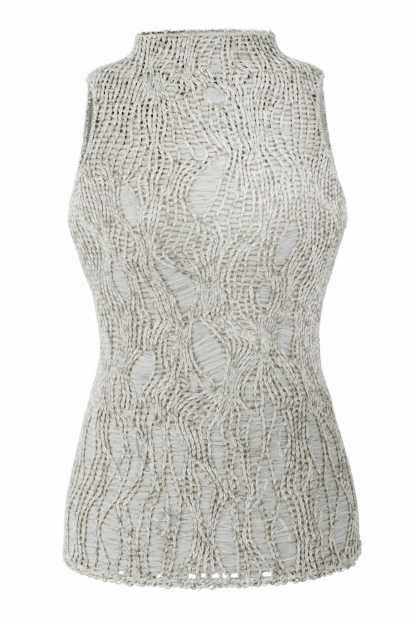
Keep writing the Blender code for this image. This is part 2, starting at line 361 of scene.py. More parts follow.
# A gather draws the wales near it towards its middle, in a burst; above is how far up the
# burst reaches and below how far down, and KNOT is how tall the tight place in it is
Gather = namedtuple("Gather", "x z reach_x above below pull")
KNOT = 4.0
GATHERS = {
    FRONT: table(Gather, [
        # fans round the funnel neck, open at the top
        (-64, -2, 20, 20, 7, 0.80),
        (-20, -10, 22, 24, 7, 0.82),
        (26, -4, 20, 22, 7, 0.80),
        (66, -12, 20, 20, 8, 0.80),
        # the yoke
        (-58, -92, 34, 34, 14, 0.80),
        (56, -104, 36, 38, 16, 0.82),
        (108, -92, 18, 16, 16, 0.60),
        (-112, -130, 20, 20, 20, 0.70),
        # the bust
        (-126, -198, 24, 20, 26, 0.82),
        (-66, -208, 30, 24, 26, 0.86),
        (62, -186, 28, 30, 22, 0.84),
        (124, -188, 24, 20, 20, 0.82),
        (96, -250, 28, 22, 26, 0.84),
        (10, -240, 26, 26, 20, 0.82),
        # the waist
        (-100, -296, 28, 20, 24, 0.84),
        (64, -322, 26, 26, 18, 0.80),
        (-40, -352, 28, 26, 22, 0.86),
        (114, -350, 22, 18, 18, 0.78),
        (24, -376, 26, 22, 18, 0.82),
        # the hips, low down
        (-136, -520, 22, 14, 14, 0.74),
        (136, -528, 22, 14, 14, 0.74),
    ]),
    BACK: table(Gather, [
        (-30, -8, 26, 22, 10, 0.74),
        (34, -14, 26, 24, 10, 0.74),
        (-78, -98, 28, 24, 18, 0.74),
        (70, -130, 28, 26, 18, 0.76),
        (-30, -216, 28, 22, 22, 0.82),
        (88, -262, 28, 20, 22, 0.80),
        (-96, -318, 24, 20, 18, 0.78),
        (20, -342, 28, 22, 18, 0.82),
        (-120, -512, 22, 14, 14, 0.74),
        (124, -520, 22, 14, 14, 0.74),
    ]),
}

# A window is a lens where wales are dropped and only their floats remain, as a ladder. The
# wales beside it bow round it, with less and less push further off, and pinch together at
# both its ends. It may lean, and its floats slant.
Window = namedtuple("Window", "x z half_width half_height lean dropped slant")
LENS_POWER, PINCH_REACH, LEAN_REACH = 1.8, 12.0, 30
# The push reaches so many times the window's half width, and this much more
PUSH_REACH, PUSH_REACH_MORE = 2.0, 8
WINDOWS = {
    FRONT: table(Window, [
        # between the neck and the yoke: small, level ones
        (-42, -32, 5, 9, 0.0, 1, 0.0),
        (4, -38, 7, 10, 0.0, 2, 0.0),
        (46, -28, 5, 9, 0.2, 1, 0.0),
        # the bust
        (0, -142, 12, 38, 0.16, 3, 0.10),
        (-92, -162, 8, 26, -0.16, 2, 0.0),
        (94, -212, 9, 26, 0.2, 2, 0.2),
        (-106, -250, 9, 30, 0.06, 2, -0.1),
        (-32, -252, 11, 40, -0.30, 3, 0.34),
        # the waist
        (-2, -326, 14, 38, -0.34, 4, 0.46),
        (94, -310, 8, 28, 0.14, 2, -0.35),
        (-84, -350, 9, 26, 0.16, 2, -0.2),
    ]),
    BACK: table(Window, [
        (-10, -160, 11, 34, 0.12, 3, 0.1),
        (64, -200, 9, 32, -0.16, 2, 0.0),
        (-76, -254, 10, 36, 0.16, 3, 0.2),
        (34, -296, 11, 36, -0.24, 3, -0.2),
    ]),
}

# Slits are small windows scattered over a band of levels, one in each cell of a loose grid,
# where they are clear of the large ones
Slits = namedtuple("Slits", "z_from z_to columns rows half_width half_height slant")
SLITS_WITHIN, SLITS_CLEAR = 126, 13
# How uneven they are in place, as a share of a cell, in size, as a share of it, and in
# lean; and how far every second row is set over
SLIT_PLACE, SLIT_WIDTH, SLIT_HEIGHT, SLIT_LEAN, SLIT_STAGGER = 0.3, 0.3, 0.4, 0.15, 0.25
SLITS = {
    FRONT: table(Slits, [
        (-196, -112, 8, 2, 3.2, 20, 0.1),
        (-386, -196, 8, 4, 3.8, 25, 0.2),
    ]),
    BACK: table(Slits, [
        (-196, -90, 7, 2, 3.2, 20, 0.1),
        (-392, -196, 7, 4, 3.6, 24, 0.2),
    ]),
}

# A lattice keeps a few wales and drops the next few, cell by cell, and parts what is left
# in staggered rows of windows, so that the kept wales cross from bundle to bundle
Lattice = namedtuple("Lattice", "z_from z_to first last kept dropped row half_width split")
LATTICES = {
    FRONT: table(Lattice, [(-550, -394, 7, 71, (2, 2, 3, 4, 6), (2, 3, 3, 4), 41, 9, 6)]),
    BACK: table(Lattice, [(-548, -402, 9, 69, (3, 4, 4, 6), (2, 3, 3), 38, 9, 6)]),
}
# How uneven a lattice is: its ends wander and some of its cells' tops hang low; its
# windows, which overlap a little, vary in level, width, height and lean; and a window that
# splits a bundle is left out where its lean would fall this low
LATTICE_ENDS, LATTICE_HANGS = 8, 26
LATTICE_LEVEL, LATTICE_WIDTH, LATTICE_LEAN = 3.5, 0.2, 0.08
LATTICE_HEIGHT, LATTICE_HEIGHT_VARIES = 0.98, 0.08
SPLIT_LEFT_OUT = -1.0

# A loose strand is a short chain of stitches that crosses the ladders on a bow. With two
# bows it is a loop of two chains with shared ends.
Strand = namedtuple("Strand", "x1 z1 x2 z2 bows")
# How far out of the cloth a strand lies, how wide and how long its stitches are, as shares
# of a panel's, and how few it may have
STRAND_LIFT, STRAND_WIDTH, STRAND_COURSE, STRAND_SHORTEST = 1.0, 0.75, 0.9, 3
STRANDS = {
    FRONT: table(Strand, [
        # loops
        (-84, -408, -76, -446, (7, -6)),
        (16, -448, 30, -482, (7, -6)),
        (-50, -482, -60, -518, (7, -6)),
        (88, -404, 80, -440, (-7, 6)),
        # chains that run across from one bundle to the next
        (-128, -430, -104, -462, (3,)),
        (-34, -420, -8, -446, (-4,)),
        (64, -460, 42, -492, (3,)),
        (66, -492, 88, -522, (4,)),
        (-112, -488, -90, -520, (-4,)),
        (116, -446, 98, -484, (4,)),
        (-14, -506, 8, -530, (-3,)),
        (128, -498, 112, -528, (3,)),
    ]),
    BACK: table(Strand, [
        (-30, -424, -16, -460, (7, -6)),
        (76, -472, 60, -504, (6,)),
        (-84, -474, -70, -506, (-6,)),
        (20, -486, 38, -518, (4,)),
    ]),
}

# The slow sideways wander of neighbouring wales: how far, and its turn per millimetre
# across and up
Wave = namedtuple("Wave", "reach per_x per_z")
WAVES = table(Wave, [
    (8.0, 0.020, 0.030),
    (4.6, -0.042, 0.047),
    (2.2, 0.075, 0.071),
    (0.9, 0.19, 0.13),
])
# The same for how far the courses stand above level, which dies out this near the hem and
# the rim
COURSE_WAVES = table(Wave, [
    (1.6, 0.043, 0.021),
    (1.1, 0.017, -0.058),
])
LEVEL_ENDS = 25
# How far about a window its floats slant, in half widths and half heights of it
SLANT_REACH_X, SLANT_REACH_Z = 1.8, 1.1
# How many wales next to a side seam are held to it, and how fast the others are let go
HELD_BY_SEAM, LET_GO = 9, 1.5


def drift(x, z, seed):
    """The sideways wander of the wales at x, z."""
    phases = np.random.default_rng(seed).uniform(0, 2 * math.pi, len(WAVES))
    return sum(wave.reach * np.sin(wave.per_x * x + wave.per_z * z + phase)
               for wave, phase in zip(WAVES, phases))


class Wales:
    """Where each wale of a panel runs, and where it is dropped."""

    # The wales' places are worked out this far apart, from this far above the hem
    STEP, FOOT = 1.5, 0.5

    def __init__(self, cloth, seed):
        self.cloth = cloth
        self.rng = np.random.default_rng(seed)
        self.z = np.arange(HEM_Z + self.FOOT, NECK_TOP_Z, self.STEP)
        rank = (np.arange(WALES) + 0.5) / WALES * 2 - 1
        half = self.half_flow(rank[:, None], self.z[None, :])
        base = rank[:, None] * half
        z = np.broadcast_to(self.z, base.shape)
        x = base + drift(base, z, seed)
        self.absent = np.zeros(base.shape, bool)
        for band in THINNED[cloth.face]:
            x = self.thin(x, band)
        self.windows = list(WINDOWS[cloth.face])
        for band in SLITS[cloth.face]:
            self.windows += self.scatter(band)
        for window in self.windows:
            x = self.part(x, z, window, *self.beside(x, window))
        for lattice in LATTICES[cloth.face]:
            x = self.cross(x, z, lattice)
        for gather in GATHERS[cloth.face]:
            x = self.draw_in(x, z, gather)
        self.x = x = self.hold_seams(x, base)
        self.up = z + self.lift(x, z)
        room = np.maximum(cloth.edge_share(z) * cloth.span(x, z) - EDGE_MARGIN, 0)
        beyond = np.abs(x) - room
        self.x = np.clip(x, -room, room)
        there = ~self.over_eyelet(x, z) & ~self.absent
        self.spacing = self.room(x, there)
        self.count_courses(there & (beyond < 0), there & (beyond < EDGE_LEAN))

    @staticmethod
    def room(x, there):
        """How much room each wale has across, between the nearest ones that are there."""
        spacing = np.abs(np.gradient(x, axis=0))
        for row in range(x.shape[1]):
            here = np.flatnonzero(there[:, row])
            if len(here) > 1:
                spacing[here, row] = np.abs(np.gradient(x[here, row]))
        return spacing

    def count_courses(self, present, reaching):
        """Where each wale's stitches start and end, a course apart, each wale out of step
        with the next, and which stitches are there: present at the foot, and reaching no
        further than the edge at the top."""
        steps = round(COURSE / self.STEP)
        last = len(self.z) - 1
        number = last // steps + 1
        self.shift = self.rng.integers(0, steps, WALES)
        ends = np.clip(np.arange(number + 1) * steps - self.shift[:, None], 0, last)
        self.foot, self.top = ends[:, :-1], ends[:, 1:]
        self.worked = (
            np.take_along_axis(present, self.foot, 1) & np.take_along_axis(reaching, self.top, 1)
            & (self.top > self.foot + 1))
        self.shown = np.zeros(present.shape, bool)
        for wale, course in np.argwhere(self.worked):
            self.shown[wale, self.foot[wale, course]:self.top[wale, course] + 1] = True

    def over_eyelet(self, x, z):
        """Where a wale would cross one of the open eyelets above the hem."""
        is_open, middle = eyelet_columns(self.cloth)
        column = np.clip(np.searchsorted(middle, x), 1, len(middle) - 1)
        nearer = np.where(x - middle[column - 1] < middle[column] - x, column - 1, column)
        return is_open[nearer] & (z < HEM_Z + EYELET_HEAD)

    def half_flow(self, rank, z):
        """How far the wales spread from the middle at height z, on the side of their rank."""
        below = self.cloth.span(rank, np.minimum(z, UNDERARM_Z))
        return below * read_off(SPACING_ABOVE_UNDERARM, "share", z)

    def hold_seams(self, x, base):
        """Brings the wales next to each side seam back to it."""
        fade = np.clip(1 - np.arange(WALES) / HELD_BY_SEAM, 0, 1)[:, None] ** LET_GO
        return x + (base[:1] - x[:1]) * fade + (base[-1:] - x[-1:]) * fade[::-1]

    def thin(self, x, band):
        """Drops every so many wales over a band and spreads the others."""
        order = np.arange(WALES)
        kept = order % band.every != band.every // 2
        even = np.linspace(0, WALES - 1, kept.sum())
        spread = np.stack([np.interp(order, order[kept], np.interp(even, order, column))
                           for column in x.T], 1)
        edge = band.wave * np.sin(order / THINNED_TURN)[:, None]
        inside = np.minimum(self.z - band.z_from - edge, band.z_to + edge - self.z)
        self.absent[~kept] |= (inside > 0)[~kept]
        amount = np.clip(inside / THINNED_EASE + 0.5, 0, 1)
        return x + (spread - x) * amount * amount * (3 - 2 * amount)

    def scatter(self, band):
        """The small windows of a band of slits, clear of the large ones."""
        made = []
        height = (band.z_to - band.z_from) / band.rows
        for row, column in np.ndindex(band.rows, band.columns):
            off = self.rng.uniform(-1, 1, 5)
            across = (column + 0.5 + SLIT_PLACE * off[0] + SLIT_STAGGER * (row % 2)) / band.columns
            slit = Window(
                x=(across * 2 - 1) * SLITS_WITHIN,
                z=band.z_to - (row + 0.5 + SLIT_PLACE * off[1]) * height,
                half_width=band.half_width * (1 + SLIT_WIDTH * off[2]),
                half_height=band.half_height * (1 + SLIT_HEIGHT * off[3]),
                lean=SLIT_LEAN * off[0], dropped=1, slant=band.slant * off[1])
            if all(abs(slit.x - w.x) > w.half_width + SLITS_CLEAR
                   or abs(slit.z - w.z) > w.half_height + slit.half_height / 2
                   for w in self.windows):
                made.append(slit)
        return made

    def draw_in(self, x, z, gather):
        """Draws the wales towards a gather's middle."""
        off, rise = x - gather.x, z - gather.z
        away = np.sqrt(rise ** 2 + KNOT ** 2) - KNOT
        reach = np.where(rise > 0, gather.above, gather.below)
        near = np.exp(-(off / gather.reach_x) ** 2 - away / reach)
        return x - gather.pull * off * near

    def beside(self, x, window):
        """The wales that a window has on its left and right, and drops what is between."""
        row = int(np.argmin(np.abs(self.z - window.z)))
        there = np.flatnonzero(~self.absent[:, row])
        nearest = there[np.argsort(np.abs(x[there, row] - window.x))[:window.dropped]]
        left, right = nearest.min() - 1, nearest.max() + 1
        self.absent[left + 1:right] |= np.abs(self.z - window.z) < window.half_height
        return left, right

    def part(self, x, z, window, left, right):
        """Bows the wales round a window between two of them, which pinch at its ends."""
        left, right = max(left, 0), min(right, WALES - 1)
        across = x[left:right + 1]
        middle = across.mean(0)
        apart = (x[right] - x[left]) / 2
        up = np.abs(self.z - window.z) / window.half_height
        inside = np.exp(-np.maximum(up - 1, 0) * window.half_height / PINCH_REACH)
        wanted = window.half_width * np.maximum(0, 1 - up ** LENS_POWER) + HALF_WALE
        push = (wanted - apart) * inside
        off = x - middle
        side = np.where(np.arange(len(x)) <= left, -1.0, 1.0)[:, None]
        reach = PUSH_REACH * window.half_width + PUSH_REACH_MORE
        fade = np.exp(-np.maximum(np.abs(off) - apart, 0) / reach)
        parted = x + side * push * fade
        between = slice(left + 1, right)
        squeeze = 1 + (HALF_WALE / apart - 1) * inside
        parted[between] = (middle + off * squeeze)[between]
        rise = np.clip(self.z - window.z, -window.half_height, window.half_height)
        return parted + window.lean * rise * inside * np.exp(-(off / LEAN_REACH) ** 2)

    def cross(self, x, z, lattice):
        """Drops wales cell by cell and parts the rest in staggered rows of windows."""
        groups, k = [], lattice.first
        while k < lattice.last:
            kept, dropped = self.rng.choice(lattice.kept), self.rng.choice(lattice.dropped)
            groups.append((k, k + dropped, k + dropped + kept))
            k += kept + dropped
        for start, end, _ in groups:
            ends = self.rng.uniform(-LATTICE_ENDS, LATTICE_ENDS, 2)
            ends[1] -= LATTICE_HANGS * self.rng.random() ** 2
            inside = (self.z > lattice.z_from + ends[0]) & (self.z < lattice.z_to + ends[1])
            self.absent[start:end] |= inside
        rows = int((lattice.z_to - lattice.z_from) / lattice.row)
        for row in range(rows):
            level = lattice.z_to - (row + 1) * lattice.row
            for start, end, after in groups:
                off = self.rng.normal(0, 1, 4)
                if row % 2:
                    middle = (end + after) // 2
                    left, right, half_width = middle - 1, middle, lattice.split
                else:
                    left, right, half_width = start - 1, end, lattice.half_width
                tall = LATTICE_HEIGHT + LATTICE_HEIGHT_VARIES * off[2]
                window = Window(
                    x=0, z=level + LATTICE_LEVEL * off[0],
                    half_width=half_width * (1 + LATTICE_WIDTH * off[1]),
                    half_height=lattice.row * tall, lean=LATTICE_LEAN * off[3],
                    dropped=0, slant=0)
                if row % 2 == 0 or off[3] > SPLIT_LEFT_OUT:
                    x = self.part(x, z, window, left, right)
        return x

    def lift(self, x, z):
        """How far the courses stand above level at x, z: they wave, and slant in windows."""
        rise = sum(wave.reach * np.sin(wave.per_x * x + wave.per_z * z)
                   for wave in COURSE_WAVES)
        for window in self.windows:
            if window.slant:
                off = x - window.x - window.lean * (z - window.z)
                near = np.exp(-(off / (SLANT_REACH_X * window.half_width)) ** 2
                              - ((z - window.z) / (SLANT_REACH_Z * window.half_height)) ** 2)
                rise = rise + window.slant * off * near
        near_hem = np.clip((z - HEM_Z) / LEVEL_ENDS, 0, 1)
        return rise * (near_hem * np.clip((NECK_TOP_Z - z) / LEVEL_ENDS, 0, 1))


# ---------------------------------------------------------------- a stitch, modelled once
# One leg of a stitch, ring by ring: out from the wale's middle, forward of the cloth and
# up the wale, with the yarn's radius there. It comes up from behind at the middle, leans
# out and forward, and tucks in behind the next stitch. Millimetres, at HALF_WALE.
Ring = namedtuple("Ring", "out forward up radius")
STITCH_LEG = table(Ring, [
    (0.25, -0.7, -2.3, 0.0),
    (0.45, 0.9, -0.7, 0.66),
    (0.80, 1.5, 1.3, 0.80),
    (1.42, 1.45, 3.5, 0.80),
    (1.60, 0.70, 5.3, 0.66),
    (1.15, -0.7, 7.0, 0.0),
])
# The back's stitches do without one ring of the six
PLAIN_LEG = STITCH_LEG[:3] + STITCH_LEG[4:]
# A float is one thread of a ladder, along X, that sags or rises between its two wales by
# one of these bows
FLOAT_HALF = 5.0
FLOAT_BOWS = (-1.3, -0.5, 0.7)
# Painted shading on a template: what stands forward of the crest gets a painted highlight,
# and what lies behind it by the depth gets painted shade, as if in its neighbours' shade;
# its sides get painted shade by their own share. On a rope, forward is away from its middle.
Relief = namedtuple("Relief", "crest depth flanks")
STITCH_RELIEF, ROPE_RELIEF = Relief(1.5, 2.6, 0.35), Relief(1.3, 2.4, 0.0)
PICOT_RELIEF, FLOAT_RELIEF = Relief(0.9, 1.6, 0.0), Relief(0.55, 0.9, 0.0)
# The brightest painted highlight, and how far aside the painted shade on a template's sides begins
# and is full
BRIGHTEST = 0.3
FLANKS_FROM, FLANKS_TO = 1.1, 2.2


def float_rings(bow):
    """A float's rings, from its left end to its right one."""
    return table(Ring, [
        (-FLOAT_HALF, -0.6, 0.0, 0.0),
        (-4.2, 0.0, 0.1 * bow, 0.6),
        (-1.6, 0.35, 0.8 * bow, 0.52),
        (1.8, 0.3, bow, 0.55),
        (4.3, 0.0, 0.15 * bow, 0.6),
        (FLOAT_HALF, -0.6, 0.0, 0.0),
    ])


def deselect():
    """Leaves edit mode and selects nothing."""
    if bpy.context.object and bpy.context.object.mode != "OBJECT":
        bpy.ops.object.mode_set(mode="OBJECT")
    bpy.ops.object.select_all(action="DESELECT")


def ring_place(ring):
    """A ring's middle in the template's own axes: X across, -Y forward, Z up."""
    return Vector((ring.out, -ring.forward, ring.up)) * MM


def pick(obj, wanted):
    """Selects the vertices of an object in edit mode that wanted says yes to."""
    bpy.ops.mesh.select_all(action="DESELECT")
    bpy.ops.object.mode_set(mode="OBJECT")
    for vertex in obj.data.vertices:
        vertex.select = wanted(vertex.co)
    bpy.ops.object.mode_set(mode="EDIT")


def pull_ring(before, after):
    """Extrudes the selected ring from one place to the next, to a point where that ends."""
    bpy.ops.mesh.extrude_region_move(
        TRANSFORM_OT_translate={"value": ring_place(after) - ring_place(before)})
    if after.radius:
        size = after.radius / before.radius
        bpy.ops.transform.resize(value=(size,) * 3, center_override=ring_place(after))
    else:
        bpy.ops.mesh.merge(type="CENTER")


def model_yarn(name, rings, turn, sides, mirrored=False):
    """A short length of yarn with pointed ends, drawn out ring by ring."""
    deselect()
    bpy.ops.mesh.primitive_circle_add(
        vertices=sides, radius=rings[1].radius * MM, location=ring_place(rings[1]), rotation=turn)
    yarn = bpy.context.object
    yarn.name = name
    bpy.ops.object.transform_apply(location=True, rotation=True, scale=True)
    bpy.ops.object.mode_set(mode="EDIT")
    bpy.ops.mesh.select_mode(type="VERT")
    bpy.ops.mesh.select_all(action="SELECT")
    pull_ring(rings[1], rings[0])
    near = ring_place(rings[1])
    pick(yarn, lambda co: abs((co - near).length / MM - rings[1].radius) < 0.01)
    for before, after in zip(rings[1:], rings[2:]):
        pull_ring(before, after)
    bpy.ops.mesh.select_all(action="SELECT")
    if mirrored:
        bpy.ops.mesh.duplicate()
        bpy.ops.transform.resize(value=(-1, 1, 1), center_override=(0, 0, 0))
        bpy.ops.mesh.select_all(action="SELECT")
    bpy.ops.mesh.normals_make_consistent(inside=False)
    bpy.ops.object.mode_set(mode="OBJECT")
    return yarn


class Template:
    """A modelled length of yarn as arrays, in millimetres. The object is then taken away."""

    def __init__(self, yarn, relief, round_about=False):
        mesh = yarn.data
        self.points = np.array([v.co for v in mesh.vertices]) / MM
        aside, forward = np.abs(self.points[:, 0]), -self.points[:, 1]
        if round_about:
            forward = np.hypot(aside, forward)
        # Painted shading: a painted highlight on the crest, painted shade where the yarn lies
        # behind and on its sides
        self.tone = np.clip((forward - relief.crest) / relief.depth, -1, BRIGHTEST)
        self.tone -= relief.flanks * np.interp(aside, (FLANKS_FROM, FLANKS_TO), (0, 1))
        self.corners = np.array([list(p.vertices) + [-1] * (4 - len(p.vertices))
                                 for p in mesh.polygons])
        self.under = np.array([p.normal.y > 0 for p in mesh.polygons])
        bpy.data.objects.remove(yarn)
        bpy.data.meshes.remove(mesh)


# ---------------------------------------------------------------- meshes from many copies
# Left free round both halves of a bake map
BAKE_MARGIN = 0.01


class Copies:
    """Many copies of templates, gathered for one mesh."""

    def __init__(self):
        self.points, self.corners, self.under, self.shade, self.count = [], [], [], [], 0

    def add(self, template, place, across, out, up, shade):
        """place in metres and three vectors for each copy: what 1 mm of the template's X,
        forward and Z becomes. shade is from 0, dull, to 1, bright, and the template's own
        painted shading, a painted highlight on its crest and painted shade where it dips
        behind, is added to it."""
        local = template.points
        points = (
            place[:, None, :]
            + local[None, :, 0, None] * across[:, None, :]
            - local[None, :, 1, None] * out[:, None, :]
            + local[None, :, 2, None] * up[:, None, :])
        copies, size = points.shape[:2]
        offsets = self.count + np.arange(copies) * size
        corners = np.where(
            template.corners[None] < 0, -1, template.corners[None] + offsets[:, None, None])
        self.points.append(points.reshape(-1, 3))
        self.corners.append(corners.reshape(-1, 4))
        self.under.append(np.tile(template.under, copies))
        self.shade.append((shade[:, None] + template.tone).ravel())
        self.count += copies * size

    def mesh(self, name):
        """All the copies as one object."""
        return build_mesh(
            name, np.concatenate(self.points), np.concatenate(self.corners),
            np.concatenate(self.under), {"shade": np.concatenate(self.shade)})


def build_mesh(name, points, corners, under, attributes):
    """An object from faces of 3 or 4 corners (-1 stands for no fourth), shaded smooth, with
    attributes on its vertices and its bake map: the front view, the underside beside it."""
    mesh = bpy.data.meshes.new(name)
    real = corners >= 0
    sizes = real.sum(1)
    loops = corners[real]
    mesh.vertices.add(len(points))
    mesh.vertices.foreach_set("co", points.astype(np.float32).ravel())
    mesh.loops.add(len(loops))
    mesh.loops.foreach_set("vertex_index", loops.astype(np.int32))
    mesh.polygons.add(len(sizes))
    mesh.polygons.foreach_set("loop_start", (sizes.cumsum() - sizes).astype(np.int32))
    mesh.polygons.foreach_set("use_smooth", np.ones(len(sizes), bool))
    mesh.update(calc_edges=True)
    for key, values in attributes.items():
        attribute = mesh.attributes.new(key, "FLOAT", "POINT")
        attribute.data.foreach_set("value", np.asarray(values, np.float32))
    low, high = points.min(0), points.max(0)
    flat = (points - low) / np.maximum(high - low, 1e-9)
    bake = flat[loops][:, [0, 2]] * (0.5 - 2 * BAKE_MARGIN, 1 - 2 * BAKE_MARGIN) + BAKE_MARGIN
    bake[:, 0] += np.repeat(under, sizes) * 0.5
    layer = mesh.uv_layers.new(name="OFBake")
    layer.data.foreach_set("uv", bake.astype(np.float32).ravel())
    obj = bpy.data.objects.new(name, mesh)
    bpy.context.scene.collection.objects.link(obj)
    return obj


# ---------------------------------------------------------------- rows of stitches
# How uneven the stitches are: their turn, their width as a share, and their place
STITCH_TURN, STITCH_WIDTH, STITCH_ASIDE, STITCH_OUT = 0.07, 0.06, 0.12, 0.15
# A narrow or wide stitch stands out less or more, between these shares
STITCH_DEPTHS = (0.75, 1.2)
# How bright the stitches and the floats are, and how much that varies
STITCH_TONE, FLOAT_TONE, TONE_VARIES = 0.55, 0.5, 0.2
# The gap between two wales from which its threads show, and how far from the wales'
# middles their ends are
FLOATS_FROM, FLOAT_END = 6.8, 0.8
# How far floats tilt, as a share of their length, in waves over the cloth, and by chance
FLOAT_TILT, FLOAT_TILT_VARIES = Wave(reach=0.07, per_x=0.11, per_z=0.05), 0.7
# How far their level varies, how far they follow the cloth out, and lie behind it
FLOAT_LEVEL_VARIES, FLOAT_FOLLOWS, FLOAT_BEHIND = 0.5, 0.5, 0.1
# How stout a float is for its length, and by chance
FLOAT_STOUT, FLOAT_STOUT_VARIES = ((5, 24), (1.15, 0.95)), (0.7, 1.25)


class Courses:
    """Every stitch of a panel: its place, its frame and its size, course by course."""

    def __init__(self, wales, seed):
        cloth = wales.cloth
        self.wales, self.rng = wales, np.random.default_rng(seed)
        self.shown = wales.worked
        x, self.up, self.spacing = (np.take_along_axis(v, wales.foot, 1)
                                    for v in (wales.x, wales.up, wales.spacing))
        self.place, self.out = cloth.at(x, self.up)
        self.next, _ = cloth.at(*(np.take_along_axis(v, wales.top, 1)
                                  for v in (wales.x, wales.up)))
        side, _ = cloth.at(x + 1, self.up)
        self.across = side - self.place

    def frames(self, chosen, swell):
        """What a stitch template's axes become for the chosen stitches."""
        jitter = self.rng.normal(0, 1, (4, chosen.sum()))
        place, out = self.place[chosen], unit(self.out[chosen])
        up = self.next[chosen] - place
        course = np.linalg.norm(up, axis=1, keepdims=True) / MM
        up_unit = unit(up)
        across = unit(np.cross(up_unit, out))
        across *= np.sign((across * self.across[chosen]).sum(1, keepdims=True))
        turn = jitter[0][:, None] * STITCH_TURN
        up_unit, across = unit(up_unit + across * turn), unit(across - up_unit * turn)
        half = swell * read_off(WALE_WIDTHS, "half", self.spacing[chosen], by="spacing")[:, None]
        width = half / HALF_WALE * (1 + STITCH_WIDTH * jitter[1][:, None])
        aside, forward = jitter[2][:, None] * STITCH_ASIDE, STITCH_OUT * jitter[3][:, None]
        place = place + (across * aside + out * forward) * MM
        return (
            place, across * width * MM, out * np.clip(width, *STITCH_DEPTHS) * MM,
            up_unit * (course / COURSE) * MM)

    def shades(self, count):
        """How bright each stitch is."""
        return np.clip(self.rng.normal(STITCH_TONE, TONE_VARIES, count), 0, 1)


def float_frames(courses, rng):
    """The threads of every gap wider than a wale, one from each stitch of the wale on its
    left to the wale on its right."""
    wales = courses.wales
    steps = round(COURSE / wales.STEP)
    pairs = []
    for row in range(2, len(wales.z) - 2):
        here = np.flatnonzero(wales.shown[:, row])
        here = here[np.argsort(wales.x[here, row])]
        left, right = here[:-1], here[1:]
        gap = wales.x[right, row] - wales.x[left, row]
        has_thread = (gap > FLOATS_FROM) & ((row + wales.shift[left]) % steps == steps // 2)
        pairs += [(a, b, row) for a, b in zip(left[has_thread], right[has_thread])]
    left, right, row = np.array(pairs).T
    cloth = wales.cloth
    z = wales.z[row] + rng.normal(0, FLOAT_LEVEL_VARIES, len(row))
    x0 = wales.x[left, row] + FLOAT_END
    x1 = wales.x[right, row] - FLOAT_END
    wave = np.sin(FLOAT_TILT.per_x * x0 + FLOAT_TILT.per_z * z)
    tilt = FLOAT_TILT.reach * (x1 - x0) * wave + rng.normal(0, FLOAT_TILT_VARIES, len(row))
    start, out0 = cloth.at(x0, z - tilt + wales.lift(x0, z))
    end, out1 = cloth.at(x1, z + tilt + wales.lift(x1, z))
    middle = (start + end) / 2
    out = unit(out0 + out1)
    length = np.linalg.norm(end - start, axis=1, keepdims=True) / MM
    across = unit(end - start)
    up = unit(np.cross(out, across))
    up *= np.where(up[:, 2:] < 0, -1, 1)
    x = (x0 + x1) / 2
    surface, _ = cloth.at(x, z + wales.lift(x, z))
    middle = middle + out * ((surface - middle) * out).sum(1, keepdims=True) * FLOAT_FOLLOWS
    stout = np.interp(length, *FLOAT_STOUT) * rng.uniform(*FLOAT_STOUT_VARIES, (len(row), 1))
    return (middle - out * FLOAT_BEHIND * MM, across * length / (2 * FLOAT_HALF) * MM,
            out * stout * MM, up * stout * MM)


def distances(points):
    """How far along a line each of its points is, in millimetres."""
    steps = np.linalg.norm(np.diff(points, axis=0), axis=1)
    return np.concatenate([[0], steps.cumsum()]) / MM


def points_along(at, travel, values):
    """What a line's points have, read off at other distances along it."""
    return np.stack([np.interp(at, travel, values[:, k]) for k in range(3)], 1)


def chain_frames(place, out, width):
    """The stitches of a chain through points on the cloth, from its top down to its foot."""
    up = place[1:] - place[:-1]
    across = unit(np.cross(unit(up), out[:-1])) * width
    length = np.linalg.norm(up, axis=1, keepdims=True) / MM
    return place[:-1], across * MM, out[:-1] * MM, unit(up) * length / COURSE * MM


def strand_frames(wales, strand, most):
    """The stitches of a loose chain, which lies on top of the cloth, off its straight line
    by most in the middle."""
    run = math.hypot(strand.x2 - strand.x1, strand.z2 - strand.z1)
    count = max(STRAND_SHORTEST, round(run / (STRAND_COURSE * COURSE)))
    along = np.linspace(1, 0, count + 1)
    bow = most * np.sin(math.pi * along)
    x = strand.x1 + (strand.x2 - strand.x1) * along - bow * (strand.z2 - strand.z1) / run
    z = strand.z1 + (strand.z2 - strand.z1) * along + bow * (strand.x2 - strand.x1) / run
    place, out = wales.cloth.at(x, z)
    return chain_frames(place + out * STRAND_LIFT * MM, out, STRAND_WIDTH)


def seam_frames(face, side):
    """The chain along one panel's side of a shoulder seam, from the neck to the armhole."""
    cloth = panel_cloth(face)
    z = np.linspace(NECK_TOP_Z, SHOULDER_TIP_Z, SEAM_SAMPLES)
    share = side * (1 - SEAM_CHAIN_IN / level_curve("half_width", z))
    place = cloth.look_up(cloth.points, share, z)
    out = unit(cloth.look_up(cloth.normals, share, z))
    travel = distances(place)
    at = np.linspace(0, travel[-1], round(travel[-1] / COURSE) + 1)
    place, out = points_along(at, travel, place), points_along(at, travel, out)
    return chain_frames(place + out * SEAM_CHAIN_LIFT * MM, out, 1.0)


# ---------------------------------------------------------------- edgings
NECK_ROPE = {"radius": 0.75, "pitch": 8.5, "strand": 0.95}
ARMHOLE_ROPE = {"radius": 0.85, "pitch": 7.5, "strand": 1.0}
ROPE_RINGS = 8
# A picot is a small loop of the hem's edging: out is down, and up runs along the hem
PICOT = table(Ring, [
    (-0.6, 0.0, -4.6, 0.0),
    (0.4, 0.4, -3.5, 1.05),
    (1.1, 0.7, -1.8, 1.45),
    (1.3, 0.6, 0.2, 1.55),
    (1.0, 0.3, 2.0, 1.4),
    (0.4, -0.2, 3.5, 1.0),
    (-0.7, -0.6, 4.5, 0.0),
])
